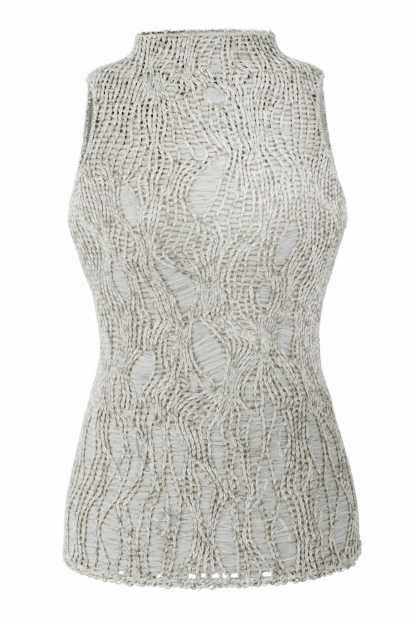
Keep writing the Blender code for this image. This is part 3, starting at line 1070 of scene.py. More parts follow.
# The rows of the hem's edging, each of copies a pitch apart: a chain on the cloth's edge,
# two turns of rope behind, dulled with painted shade, two of brighter rope before them, and the
# picots
# The last column is each row's painted shading: how bright it is, or how far dulled with painted
# shade
HemRow = namedtuple("HemRow", "template below pitch size stretch tumble lift tone")
HEM_ROWS = table(HemRow, [
    ("stitch", 0.0, 5.2, 1.05, 0.95, 1.5, 0, 0.5),
    ("neck_turn", 1.6, 4.4, 1.5, 1.1, 1, -1, 0),
    ("neck_turn", 4.4, 4.4, 1.5, 1.1, 1, -1, 0),
    ("neck_turn", 1.4, 5.8, 1.1, 1.0, 2.4, 1, 0.4),
    ("neck_turn", 3.8, 6.2, 1.3, 1.0, 2.4, 1, 0.4),
    ("picot", 5.2, 7.2, 1.2, 1.2, 3.0, 0.4, 0.3),
])
# The neck's two turns of rope: fine in front, where they hide nothing, and full behind, where
# the lower turn is darkened with painted shade and the upper one a little dulled with it
NeckRow = namedtuple("NeckRow", "front_above back_above front_size back_size back_tone")
NECK_ROWS = table(NeckRow, [
    (-0.6, 0.4, 0.6, 1.1, -0.3),
    (0.1, 2.0, 0.5, 1.1, 0.4),
])
# The rope's front turns into its back over this depth of the neck
NECK_TURNS_OVER = 60
# The rope round an armhole, beyond the cloth's edge, further behind than in front, and how
# far out of the back each stands; and the chain that binds off inside it
ARMHOLE_BEYOND = {FRONT: 0.9, BACK: 1.2}
ARMHOLE_LIFT = {"left": 1.6, "right": 0.0}
CHAIN_BEYOND, CHAIN_PITCH = -1.6, 5.0
# How far in from a shoulder seam its chains run, and how far out of the cloth
SEAM_CHAIN_IN, SEAM_CHAIN_LIFT = 2.2, 0.5
# At how many places the line of an edge or a seam is worked out
LEVEL_SAMPLES, ARMHOLE_SAMPLES, SEAM_SAMPLES = 161, 120, 200
# How far a full tumble makes the copies along an edge vary: in size as a share, in lean,
# and in millimetres beyond the edge
TUMBLE_SIZE, TUMBLE_LEAN, TUMBLE_BEYOND = 0.08, 0.10, 0.25
# How bright an edging is, where nothing else is said, and how dull painted shade may make it
EDGE_TONE, DULLEST = 0.5, -0.5
UP, DOWN = (0, 0, 1), (0, 0, -1)


def rope_turn(radius, pitch, strand):
    """One full turn of one ply of a two-ply rope, as rings along it."""
    rings = []
    for i in range(ROPE_RINGS + 1):
        turn = 2 * math.pi * i / ROPE_RINGS
        ends = i in (0, ROPE_RINGS)
        rings.append(Ring(
            out=radius * math.cos(turn), forward=radius * math.sin(turn),
            up=pitch * (i / ROPE_RINGS - 0.5), radius=0.0 if ends else strand))
    return tuple(rings)


class Edge:
    """A closed line along an edge of the cloth, in even steps, with three directions at
    each: along it, beyond the edge, and out of the cloth."""

    def __init__(self, front, back, beyond, pitch):
        points, normals = (np.concatenate([front[i], back[i], front[i][:1]]) for i in (0, 1))
        travel = distances(points)
        self.steps = round(travel[-1] / pitch)
        at = np.arange(self.steps) * travel[-1] / self.steps
        self.points, out = points_along(at, travel, points), points_along(at, travel, normals)
        self.along = unit(np.roll(self.points, -1, 0) - np.roll(self.points, 1, 0))
        self.out = unit(out - self.along * (out * self.along).sum(1, keepdims=True))
        self.beyond = np.cross(self.along, self.out)
        if self.beyond[0] @ np.array(beyond) < 0:
            self.beyond = -self.beyond


def level_edge(z, beyond, pitch):
    """The line round both panels at one level."""
    share = np.linspace(-1, 1, LEVEL_SAMPLES)
    runs = []
    for face, order in ((FRONT, 1), (BACK, -1)):
        cloth = panel_cloth(face)
        points, normals = cloth.at(share * cloth.span(share, z), z)
        runs.append((points[::order], normals[::order]))
    return Edge(*runs, beyond, pitch)


def armhole_edge(side, pitch):
    """The line round one armhole: up the front panel's edge and down the back's."""
    runs = []
    z = np.linspace(UNDERARM_Z, SHOULDER_TIP_Z, ARMHOLE_SAMPLES)
    for face, order in ((FRONT, 1), (BACK, -1)):
        cloth = panel_cloth(face)
        share = cloth.edge_share(z) * side
        points = cloth.look_up(cloth.points, share, z)
        normals = unit(cloth.look_up(cloth.normals, share, z))
        runs.append((points[::order], normals[::order]))
    return Edge(*runs, UP, pitch)


def lay_along(copies, template, edge, rng, beyond, size, stretch, tumble, lift=0.0,
              tone=EDGE_TONE):
    """Copies of a template along an edge, its X beyond the edge and its Z along it, lifted
    out of the cloth, uneven by tumble, and brighter or duller by the painted shading asked
    for, which lets rows that lie behind be painted in shade, and by chance."""
    wobble = rng.normal(0, 1, (3, edge.steps))
    grow = (size * (1 + TUMBLE_SIZE * tumble * wobble[0]))[:, None]
    lean = (tumble * TUMBLE_LEAN * wobble[1])[:, None]
    along = unit(edge.along + edge.beyond * lean)
    across = unit(edge.beyond - edge.along * lean)
    shift = (beyond + TUMBLE_BEYOND * tumble * wobble[2])[:, None]
    lifts = np.broadcast_to(lift, edge.steps)[:, None]
    place = edge.points + edge.beyond * shift * MM + edge.out * lifts * MM
    tones = rng.normal(tone, TONE_VARIES, edge.steps).clip(DULLEST, 1)
    copies.add(template, place, across * grow * MM, edge.out * grow * MM,
               along * stretch * MM, tones)


# ---------------------------------------------------------------- the ground of the cloth
# How deep the shade lies between the wales at each level, from 0 to 1
GapShade = namedtuple("GapShade", "z depth")
GAP_SHADES = table(GapShade, [
    (-558, 0.65),
    (-470, 0.35),
    (-380, 0.45),
    (-260, 0.30),
    (-150, 0.40),
    (-112, 0.90),
    (-60, 1.0),
    (34, 1.0),
])
# How open the ground is for the gap between two wales: closed under close wales, half open
# in a ladder of single threads, and open in a fine web
Opening = namedtuple("Opening", "gap open")
OPENINGS = table(Opening, [
    (6.6, 0.0),
    (7.8, 0.5),
    (13.0, 0.5),
    (17.0, 1.0),
])
# Low on the hips the same gaps open more: by how much, at each level
WIDENED = ((-390, 1.75), (-330, 1.0))
# The shade between the wales is shallow near the side seams: how much of it is left, from
# this share of the way to the seam
EDGE_SHADE = ((0.75, 1.0), (1.0, 0.3))
# How far from a wale's middle the ground starts to open, and is as open as it gets
OPEN_FROM, OPEN_TO = 2.3, 3.3


def face_walls(quads, count):
    """Walls that close a shell along every edge that only one of its quads has."""
    start, end = quads.ravel(), np.roll(quads, -1, axis=1).ravel()
    alone = ~np.isin(end * count + start, start * count + end)
    a, b = start[alone], end[alone]
    return np.stack([b, a, a + count, b + count], -1)


def openness(wales, x, z):
    """How open the ground is, for a grid with rows at levels z, and how far its threads are
    shifted down to meet the stitches of the wale on their left."""
    result, shift = np.zeros_like(x), np.zeros_like(x)
    for i, level in enumerate(z):
        row = int(np.clip(np.rint((level - wales.z[0]) / wales.STEP), 0, len(wales.z) - 1))
        shown = np.flatnonzero(wales.shown[:, row])
        shown = shown[np.argsort(wales.x[shown, row])]
        here = wales.x[shown, row]
        right = np.searchsorted(here, x[i])
        low = np.concatenate([[here[0] - HALF_WALE], here])[right]
        high = np.concatenate([here, [here[-1] + HALF_WALE]])[right]
        shift[i] = np.concatenate([[0], wales.shift[shown]])[right] * wales.STEP
        gap = (high - low) * np.interp(level, *zip(*WIDENED))
        wide = read_off(OPENINGS, "open", gap, by="gap")
        near = np.minimum(x[i] - low, high - x[i])
        result[i] = wide * np.interp(near, (OPEN_FROM, OPEN_TO), (0, 1))
    return result, shift


def ground_mesh(name, wales, depth, thickness):
    """A thin closed shell just behind the stitches, cut to the panel's outline."""
    cloth = wales.cloth
    z, share, x = ground_grid(cloth)
    level = np.broadcast_to(z[:, None], x.shape).copy()
    uneven = np.random.default_rng(SEEDS["eyelet_rims"]).uniform(-1, 1, (2, x.shape[1]))
    level[1:3] += uneven * np.array(EYELET_UNEVEN)[:, None]
    middle = cloth.look_up(cloth.points, share, level)
    normal = unit(cloth.look_up(cloth.normals, share, level))
    points = np.stack([middle - normal * depth, middle - normal * (depth + thickness)])
    count = x.size
    index = np.arange(count).reshape(x.shape)
    quads = np.stack([index[:-1, :-1], index[:-1, 1:], index[1:, 1:], index[1:, :-1]], -1)
    kept = np.ones(quads.shape[:2], bool)
    kept[1] = ~eyelet_columns(cloth)[0]
    quads = quads[kept]
    if cloth.face == BACK:
        quads = quads[:, ::-1]
    behind = quads[:, ::-1] + count
    walls = face_walls(quads, count)
    corners = np.concatenate([quads, behind, walls])
    under = np.concatenate([np.zeros(len(quads), bool), np.ones(len(behind) + len(walls), bool)])
    opened, shift = openness(wales, x, z)
    depths = read_off(GAP_SHADES, "depth", level)
    depths = depths * np.interp(np.abs(share), *zip(*EDGE_SHADE))
    ground = build_mesh(name, points.reshape(-1, 3), corners, under, {
        "open": np.tile(opened.ravel(), 2), "deep": np.tile(depths.ravel(), 2)})
    flat = np.stack([x, level - wales.lift(x, level) - wales.z[0] + shift], -1).reshape(-1, 2)
    flat = np.concatenate([flat, flat])
    layer = ground.data.uv_layers.new(name="cloth")
    layer.data.foreach_set("uv", flat[corners.ravel()].astype(np.float32).ravel())
    ground.data.polygons.foreach_set("material_index", under.astype(np.int32))
    return ground


# ---------------------------------------------------------------- what the panels share
# How a yarn's first ring is turned: for yarn that runs up, and for yarn that runs across
UPRIGHT, LYING = (0, 0, 0), (0, math.pi / 2, 0)
# How far the cloth may be from the frame's, at every ninth row and twelfth column, this
# share of the way in from the armholes and more
FORM_TOLERANCE = 2.2 * MM
FORM_ROWS, FORM_COLUMNS, FORM_INSET = 9, 12, 0.03


@functools.lru_cache(maxsize=None)
def panel_cloth(face):
    """A panel's cloth, worked out once."""
    return Cloth(face)


@functools.lru_cache(maxsize=None)
def panel_wales(face):
    """A panel's wales, worked out once."""
    return Wales(panel_cloth(face), SEEDS[face])


@functools.lru_cache(maxsize=None)
def yarn_template(name):
    """A stitch, a picot or a turn of rope, modelled the first time that it is asked for."""
    if name in ("stitch", "plain_stitch"):
        rings = {"stitch": STITCH_LEG, "plain_stitch": PLAIN_LEG}[name]
        return Template(model_yarn(name, rings, UPRIGHT, 4, mirrored=True), STITCH_RELIEF)
    if name == "picot":
        return Template(model_yarn(name, PICOT, UPRIGHT, 4), PICOT_RELIEF)
    rings = rope_turn(**{"neck_turn": NECK_ROPE, "armhole_turn": ARMHOLE_ROPE}[name])
    return Template(model_yarn(name, rings, UPRIGHT, 4), ROPE_RELIEF, round_about=True)


@functools.lru_cache(maxsize=None)
def float_template(bow):
    """A float with one of the bows."""
    return Template(model_yarn("float", float_rings(bow), LYING, 3), FLOAT_RELIEF)


def check_against_frame(cloth):
    """Stops if the cloth's form here has drifted from the frame's panel."""
    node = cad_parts[cloth.face + "_panel"]
    triangles = [tuple(p.vertices) for p in node.data.polygons]
    tree = BVHTree.FromPolygons([v.co for v in node.data.vertices], triangles)
    for row in range(0, len(cloth.z), FORM_ROWS):
        for column in range(FORM_COLUMNS, Cloth.COLUMNS - FORM_COLUMNS, FORM_COLUMNS):
            if abs(cloth.share[column]) > cloth.edge[row] - FORM_INSET:
                continue
            gap = tree.find_nearest(Vector(cloth.points[row, column]))[3]
            if gap > FORM_TOLERANCE:
                raise RuntimeError(
                    f"{cloth.face} cloth is {gap / MM:.1f} mm off the frame at "
                    f"level {cloth.z[row]:.0f}, share {cloth.share[column]:.2f}")


def finish_piece(piece, materials, nodes=()):
    """Gives a piece its materials, its body and the nodes it stands for."""
    for material in materials:
        piece.data.materials.append(material)
    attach(piece, "root")
    if nodes:
        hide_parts(*nodes)
    return piece


# ---------------------------------------------------------------- materials
# The Wave Texture's scale for a pattern that repeats once a unit
WAVE_PERIOD = 2 * math.pi / 20
# How far light leaks through the thin web
LEAK_RADIUS = 3.0 * MM
# The length of a yarn's thick and thin stretches, and the tufts of fuzz on a millimetre
# of it, coarser than real ones so that they show
SLUB_LENGTH = 2.4 * MM
FUZZ_PER_MM = 1.4
# The fibres of a ladder's web: a pitch apart, and drawn out one over this along X
FIBRE_PITCH, FIBRE_STRETCH = 1.9, (0.09, 1.0, 1.0)
# The holes between close wales, painted as shade on the ground: their pitch across, and
# drawn out one over this up the wale
HOLE_PITCH, HOLE_STRETCH = 2.2, (1.0, 0.6, 1.0)
# How much of the holes' spacing is a hole a course, from 0 to 1; the rest is chance
HOLES_BY_COURSE = 0.5
# The patches in which the shade between the wales is deep or shallow
PATCH_PITCH, PATCH_STRETCH = 11.0, (1.0, 1.0, 1.0)


def add_node(tree, kind, inputs=None, output=0, stops=(), **settings):
    """Adds a node with its settings, links or sets its inputs and, on a ramp, its stops of
    place and colour, and gives the output asked for."""
    made = tree.nodes.new(kind)
    for key, value in settings.items():
        setattr(made, key, value)
    for key, value in (inputs or {}).items():
        if isinstance(value, bpy.types.NodeSocket):
            tree.links.new(value, made.inputs[key])
        else:
            made.inputs[key].default_value = value
    for number, (place, colour) in enumerate(stops):
        elements = made.color_ramp.elements
        element = elements[number] if number < len(elements) else elements.new(place)
        element.position, element.color = place, (*colour, 1.0)
    return made.outputs[output]


def new_material(name, roughness, sheen, leak=0.0):
    """A matt material, its node tree and its shader, set for roughness and sheen, and for
    the share of light that leaks through it."""
    material = bpy.data.materials.new(name)
    material.use_nodes = True
    tree = material.node_tree
    shader = tree.nodes["Principled BSDF"]
    finish = {
        "Roughness": roughness, "Sheen Weight": sheen, "Sheen Roughness": 0.5,
        "Specular IOR Level": 0.25, "Subsurface Weight": leak,
        "Subsurface Radius": (1.0, 1.0, 0.95), "Subsurface Scale": LEAK_RADIUS}
    for key, value in finish.items():
        shader.inputs[key].default_value = value
    return material, tree, shader


def dress(tree, shader, colour, height, strength, distance):
    """Gives a shader its colour and the bumps of a height."""
    bump = add_node(tree, "ShaderNodeBump", {
        "Height": height, "Strength": strength, "Distance": distance})
    tree.links.new(colour, shader.inputs["Base Color"])
    tree.links.new(bump, shader.inputs["Normal"])


def yarn_material(name, bright, dull, shaded):
    """Viscose and linen yarn, loosely spun in two plies: matt off-white, with thick and
    thin stretches that are brighter and duller at random, a fine fuzz on its surface, a
    painted highlight on its crests, and painted shade where it dips behind its neighbours
    and on its sides."""
    material, tree, shader = new_material(name, roughness=0.86, sheen=0.08)
    place = add_node(tree, "ShaderNodeTexCoord", output="Object")
    # shade holds each stitch's random brightness together with its painted highlight and painted
    # shade
    shade = add_node(tree, "ShaderNodeAttribute", output="Fac", attribute_name="shade")
    slub = add_node(tree, "ShaderNodeTexNoise", {
        "Vector": place, "Scale": 1 / SLUB_LENGTH, "Detail": 2.0, "Roughness": 0.6})
    spread = add_node(tree, "ShaderNodeMapRange", {
        "Value": slub, "From Min": 0.32, "From Max": 0.68})
    both = add_node(tree, "ShaderNodeMath", {0: spread, 1: shade}, operation="ADD")
    half = add_node(tree, "ShaderNodeMath", {0: both, 1: 0.5}, operation="MULTIPLY")
    colour = add_node(tree, "ShaderNodeValToRGB", {"Fac": half}, stops=(
        (0.08, shaded), (0.36, dull), (0.66, bright)))
    fuzz = add_node(tree, "ShaderNodeTexNoise", {
        "Vector": place, "Scale": FUZZ_PER_MM / MM, "Detail": 2.0, "Roughness": 0.7})
    dress(tree, shader, colour, fuzz, strength=0.35, distance=0.3 * MM)
    return material


def drawn_noise(tree, cloth, pitch, stretch):
    """Soft noise with a pitch in millimetres, drawn out one over stretch along each axis."""
    drawn = add_node(tree, "ShaderNodeVectorMath", {0: cloth, 1: stretch}, operation="MULTIPLY")
    return add_node(tree, "ShaderNodeTexNoise", {
        "Vector": drawn, "Scale": 1 / pitch, "Detail": 3.0, "Roughness": 0.6, "Distortion": 0.4})


def ground_material(name, gap, hole, pale_gap, rung, ladder, web_shadow):
    """The web of floats behind the stitches: painted shade in small olive holes between
    close wales, deeper in some patches than in others, a thread in each course of a ladder
    with painted shade between the threads, and a pale web of fine, uneven fibres, with
    painted shadow between them, where several wales are dropped."""
    material, tree, shader = new_material(name, roughness=0.9, sheen=0.05, leak=0.2)
    opened = add_node(tree, "ShaderNodeAttribute", output="Fac", attribute_name="open")
    cloth = add_node(tree, "ShaderNodeUVMap", output="UV", uv_map="cloth")
    rungs = add_node(tree, "ShaderNodeTexWave", {
        "Vector": cloth, "Scale": WAVE_PERIOD / COURSE, "Distortion": 3.6, "Detail": 2.0,
        "Detail Scale": 0.35}, output="Fac", bands_direction="Y")
    fibres = drawn_noise(tree, cloth, FIBRE_PITCH, FIBRE_STRETCH)
    holes = drawn_noise(tree, cloth, HOLE_PITCH, HOLE_STRETCH)
    patches = drawn_noise(tree, cloth, PATCH_PITCH, PATCH_STRETCH)
    patchy = add_node(tree, "ShaderNodeMapRange", {
        "Value": patches, "From Min": 0.34, "From Max": 0.54})
    deep = add_node(tree, "ShaderNodeAttribute", output="Fac", attribute_name="deep")
    deeper = add_node(tree, "ShaderNodeMath", {0: deep, 1: patchy}, operation="MULTIPLY")
    looped = add_node(tree, "ShaderNodeMix", {
        "Factor": HOLES_BY_COURSE, "A": holes, "B": rungs}, output="Result", data_type="FLOAT")
    # Painted shade between close wales: shallow here, and deep where the deep attribute and the
    # patches say
    shallow = add_node(tree, "ShaderNodeValToRGB", {"Fac": looped}, stops=(
        (0.44, hole), (0.62, pale_gap)))
    dark = add_node(tree, "ShaderNodeValToRGB", {"Fac": looped}, stops=(
        (0.57, gap), (0.73, pale_gap)))
    closed = add_node(tree, "ShaderNodeMix", {
        "Factor": deeper, "A": shallow, "B": dark}, output="Result", data_type="RGBA")
    # Painted shade between a ladder's threads
    ladders = add_node(tree, "ShaderNodeValToRGB", {"Fac": rungs}, stops=(
        (0.18, hole), (0.5, rung)))
    # Painted shadow between the fibres of the web
    web = add_node(tree, "ShaderNodeValToRGB", {"Fac": fibres}, stops=(
        (0.37, web_shadow), (0.50, ladder)))
    in_ladder = add_node(tree, "ShaderNodeMapRange", {
        "Value": opened, "From Min": 0.1, "From Max": 0.4})
    half_open = add_node(tree, "ShaderNodeMix", {
        "Factor": in_ladder, "A": closed, "B": ladders}, output="Result", data_type="RGBA")
    in_web = add_node(tree, "ShaderNodeMapRange", {
        "Value": opened, "From Min": 0.55, "From Max": 0.85})
    colour = add_node(tree, "ShaderNodeMix", {
        "Factor": in_web, "A": half_open, "B": web}, output="Result", data_type="RGBA")
    dress(tree, shader, colour, fibres, strength=0.8, distance=0.8 * MM)
    return material


def purl_material(name, bright, dull):
    """The wrong side of plain knitting, which lies in shade inside: level rows of small
    bumps, with painted shade between them.
    """
    material, tree, shader = new_material(name, roughness=0.9, sheen=0.05, leak=0.4)
    cloth = add_node(tree, "ShaderNodeUVMap", output="UV", uv_map="cloth")
    rows = add_node(tree, "ShaderNodeTexWave", {
        "Vector": cloth, "Scale": WAVE_PERIOD / (COURSE / 2), "Distortion": 1.2,
        "Detail": 1.0, "Detail Scale": 0.5}, output="Fac", bands_direction="Y")
    columns = add_node(tree, "ShaderNodeTexWave", {
        "Vector": cloth, "Scale": WAVE_PERIOD / HALF_WALE, "Distortion": 1.0,
        "Detail": 1.0, "Detail Scale": 0.5}, output="Fac", bands_direction="X")
    bumps = add_node(tree, "ShaderNodeMath", {0: rows, 1: columns}, operation="MULTIPLY")
    colour = add_node(tree, "ShaderNodeValToRGB", {"Fac": bumps}, stops=(
        (0.05, dull), (0.6, bright)))
    dress(tree, shader, colour, bumps, strength=0.9, distance=1.2 * MM)
    return material


# ---------------------------------------------------------------- what a user may change
def colour_property(name, description, hex_colour):
    """A colour that a user may change, from an sRGB hex value."""
    return FloatVectorProperty(
        name=name, description=description, subtype="COLOR", size=3, min=0.0, max=1.0,
        default=srgb(hex_colour))


class VestSizes(bpy.types.PropertyGroup):
    """Sizes of the stitches, of the ground behind them and of the camera's distance."""
    swell: FloatProperty(
        name="Swell", description="How wide the stitches are beside their usual width",
        default=1.0, min=0.7, max=1.4, subtype="FACTOR")
    ground_depth: FloatProperty(
        name="Ground depth", description="How far the web lies behind the cloth's middle",
        default=0.85 * MM, min=0.0, max=2 * MM, unit="LENGTH", precision=5)
    ground_thickness: FloatProperty(
        name="Ground thickness", description="Thickness of the web of floats",
        default=0.6 * MM, min=0.1 * MM, max=2 * MM, unit="LENGTH", precision=5)
    camera_distance: FloatProperty(
        name="Camera distance", description="From the camera to the vest's middle",
        default=2.3, min=1.0, max=6.0, unit="LENGTH")


class VestColours(bpy.types.PropertyGroup):
    """Colours of the yarn, of the ground and of the inside."""
    # bright, dull and shaded are mixed by random thick and thin stretches, each stitch's random
    # brightness and painted shading: a painted highlight on the crests leans to bright, and
    # painted shade where the yarn lies behind and on its sides leans to shaded
    bright: colour_property("Bright yarn", "The yarn where it is full", "#f6f6ed")
    dull: colour_property("Dull yarn", "The yarn where it is thin", "#9b9a8a")
    shaded: colour_property("Shaded yarn", "The yarn where it dips behind", "#535244")
    # gap, hole and pale_gap paint the shade on the ground between the wales, from deepest to
    # lightest; hole is also the painted shade between a ladder's threads, and the ladder line the
    # painted shadow between the web's fibres
    gap: colour_property("Gap", "Shade between close wales, where it is deepest", "#1a150b")
    hole: colour_property("Hole", "Shade between wales elsewhere, and in ladders", "#6d6b5b")
    pale_gap: colour_property("Pale gap", "The ground beside that shade", "#898779")
    rung: colour_property("Rung", "The ground's thread in each course of a ladder", "#b4b2a6")
    ladder: colour_property("Ladder", "The web of fibres in a wide ladder", "#b3b5b3")
    web_shadow: colour_property("Ladder line", "Between the fibres of the web", "#6d6d64")
    inside: colour_property("Inside", "The wrong side of the cloth", "#e2e2de")
    inside_gap: colour_property("Inside gap", "Shade between the purl bumps", "#8a8880")


def sizes():
    """The sizes that a user may change."""
    return bpy.context.scene.vest_sizes


def colours():
    """The colours that a user may change."""
    return bpy.context.scene.vest_colours


@functools.lru_cache(maxsize=None)
def materials():
    """Every material of the vest, made once."""
    c = colours()
    return {
        "yarn": yarn_material("spun_viscose_yarn", c.bright, c.dull, c.shaded),
        "ground": ground_material(
            "ladder_web", c.gap, c.hole, c.pale_gap, c.rung, c.ladder, c.web_shadow),
        "purl": purl_material("purl_side", c.inside, c.inside_gap),
    }


# ---------------------------------------------------------------- operators
# The bands that a panel's stitches are grouped in, from the hem up
Band = namedtuple("Band", "name z_from z_to")
BANDS = {
    FRONT: table(Band, [
        ("hip", -600, -385),
        ("waist", -385, -190),
        ("yoke", -190, 60),
    ]),
    BACK: table(Band, [
        ("hip", -600, -330),
        ("yoke", -330, 60),
    ]),
}
# What a panel is cut to, in metres: across the hips, up to the neck, and its area with
# the armholes and the shoulders' slope cut away
Cut = namedtuple("Cut", "width length area")


def make_stitches(face):
    """The stitches of a panel, in bands, and its ladders' floats, as joined meshes."""
    wales = panel_wales(face)
    courses = Courses(wales, SEEDS["stitches"])
    template = yarn_template("stitch" if face == FRONT else "plain_stitch")
    pieces = []
    for band in BANDS[face]:
        copies = Copies()
        chosen = courses.shown & (courses.up >= band.z_from) & (courses.up < band.z_to)
        frames = courses.frames(chosen, sizes().swell)
        copies.add(template, *frames, courses.shades(len(frames[0])))
        piece = copies.mesh(f"{face}_stitches_{band.name}")
        pieces.append(finish_piece(piece, [materials()["yarn"]]))
    rng = np.random.default_rng(SEEDS["floats"])
    copies = Copies()
    frames = float_frames(courses, rng)
    bows = rng.integers(0, len(FLOAT_BOWS), len(frames[0]))
    for number, bow in enumerate(FLOAT_BOWS):
        some = [values[bows == number] for values in frames]
        tones = rng.normal(FLOAT_TONE, TONE_VARIES, len(some[0]))
        copies.add(float_template(bow), *some, tones)
    for strand in STRANDS[face]:
        for most in strand.bows:
            frames = strand_frames(wales, strand, most)
            copies.add(template, *frames, rng.normal(FLOAT_TONE, TONE_VARIES, len(frames[0])))
    piece = copies.mesh(f"{face}_floats")
    pieces.append(finish_piece(piece, [materials()["yarn"]]))
    return pieces


def make_panel(face):
    """One panel: its ground, with its stitches and floats on it."""
    check_against_frame(panel_cloth(face))
    ground = ground_mesh(
        f"{face}_ground", panel_wales(face), sizes().ground_depth, sizes().ground_thickness)
    finish_piece(
        ground, [materials()["ground"], materials()["purl"]], [f"{face}_panel"])
    pieces = make_stitches(face)


class VEST_OT_front(bpy.types.Operator):
    """Knits the front: its ground, its stitches and the floats of its ladders."""
    bl_idname = "vest.front"
    bl_label = "Front"

    def execute(self, context):
        make_panel(FRONT)
        return {"FINISHED"}


class VEST_OT_back(bpy.types.Operator):
    """Knits the back, which is plainer than the front."""
    bl_idname = "vest.back"
    bl_label = "Back"

    def execute(self, context):
        make_panel(BACK)
        return {"FINISHED"}


class VEST_OT_neck_edge(bpy.types.Operator):
    """Works the twisted edge round the funnel neck."""
    bl_idname = "vest.neck_edge"
    bl_label = "Neck edge"

    def execute(self, context):
        rng = np.random.default_rng(SEEDS["neck"])
        copies = Copies()
        edge = level_edge(NECK_TOP_Z, UP, NECK_ROPE["pitch"] / 2)
        behind = np.clip(edge.points[:, 1] / (NECK_TURNS_OVER * MM) + 0.5, 0, 1)
        for row in NECK_ROWS:
            above = row.front_above + (row.back_above - row.front_above) * behind
            size = row.front_size + (row.back_size - row.front_size) * behind
            # Painted shade: the turns grow duller towards the back
            tone = EDGE_TONE + (row.back_tone - EDGE_TONE) * behind
            lay_along(copies, yarn_template("neck_turn"), edge, rng, above, size,
                      stretch=1.0, tumble=1.6, tone=tone)
        piece = copies.mesh("neck_rope")
        finish_piece(piece, [materials()["yarn"]], ["neck_edge"])
        return {"FINISHED"}


class VEST_OT_armhole_edges(bpy.types.Operator):
    """Works the fine twisted edges round both armholes."""
    bl_idname = "vest.armhole_edges"
    bl_label = "Armhole edges"

    def execute(self, context):
        rng = np.random.default_rng(SEEDS["armholes"])
        for side, name in ((1, "right"), (-1, "left")):
            copies = Copies()
            edge = armhole_edge(side, ARMHOLE_ROPE["pitch"] / 2)
            behind = edge.points[:, 1] > 0
            beyond = np.where(behind, ARMHOLE_BEYOND[BACK], ARMHOLE_BEYOND[FRONT])
            lift = ARMHOLE_LIFT[name] * behind
            lay_along(copies, yarn_template("armhole_turn"), edge, rng, beyond, size=1.15,
                      stretch=1.0, tumble=1.4, lift=lift)
            chain = armhole_edge(side, CHAIN_PITCH)
            lay_along(copies, yarn_template("stitch"), chain, rng, CHAIN_BEYOND, size=0.95,
                      stretch=0.85, tumble=1.0)
            piece = copies.mesh(f"armhole_rope_{name}")
            finish_piece(piece, [materials()["yarn"]], [f"armhole_edge_{name}"])
        return {"FINISHED"}


class VEST_OT_shoulder_seams(bpy.types.Operator):
    """Works the chains along both sides of each shoulder seam."""
    bl_idname = "vest.shoulder_seams"
    bl_label = "Shoulder seams"

    def execute(self, context):
        copies = Copies()
        for face, side in ((FRONT, 1), (FRONT, -1), (BACK, 1), (BACK, -1)):
            frames = seam_frames(face, side)
            copies.add(yarn_template("stitch"), *frames, np.full(len(frames[0]), EDGE_TONE))
        finish_piece(copies.mesh("shoulder_seams"), [materials()["yarn"]])
        return {"FINISHED"}


class VEST_OT_hem_edge(bpy.types.Operator):
    """Works the hem's edging: a chain, four turns of rope and a row of picots."""
    bl_idname = "vest.hem_edge"
    bl_label = "Hem edge"

    def execute(self, context):
        rng = np.random.default_rng(SEEDS["hem"])
        copies = Copies()
        for row in HEM_ROWS:
            edge = level_edge(HEM_Z, DOWN, row.pitch)
            lay_along(copies, yarn_template(row.template), edge, rng, row.below, row.size,
                      row.stretch, row.tumble, row.lift, row.tone)
        piece = copies.mesh("hem_edging")
        finish_piece(piece, [materials()["yarn"]], ["hem_edge"])
        return {"FINISHED"}


# ---------------------------------------------------------------- the studio
# What the camera shows, in metres, where it stands and how it rolls
VIEW_HEIGHT, VIEW_CENTRE_X, VIEW_CENTRE_Z = 0.730, -0.001, -0.288
CAMERA_Z, CAMERA_ROLL = -0.17, math.radians(-0.75)
# The paper floor sweeps up behind into a wall, on a bend of this radius and steps
FLOOR_SIZE, FLOOR_Y, FLOOR_Z = 8.0, 1.5, -1.05
WALL_HEIGHT, SWEEP_RADIUS, SWEEP_STEPS = 5.0, 1.2, 16
# How strongly the room lights the vest, and the backdrop shines to the camera
ROOM_LIGHT, BACKDROP_GLOW = 0.12, 14.0
# aim_x and aim_z say where on the cloth a lamp points, and spread how wide its beam is in
# degrees: at the waist and all round, unless the lamp says otherwise
Lamp = namedtuple("Lamp", "name x y z size power warmth aim_x aim_z spread",
                  defaults=(0, -0.29, 180))
LAMPS = (
    Lamp("key", x=-2.05, y=-1.05, z=0.85, size=0.6, power=158, warmth="#fffdf8"),
    Lamp("front", x=0.1, y=-1.4, z=1.0, size=0.2, power=0.65, warmth="#fdfdff",
         aim_x=0.05, aim_z=-0.21, spread=10),
    Lamp("top", x=-0.2, y=-0.3, z=1.5, size=1.0, power=10, warmth="#ffffff"),
    Lamp("behind", x=-0.9, y=2.2, z=0.5, size=1.8, power=55, warmth="#ffffff"),
)


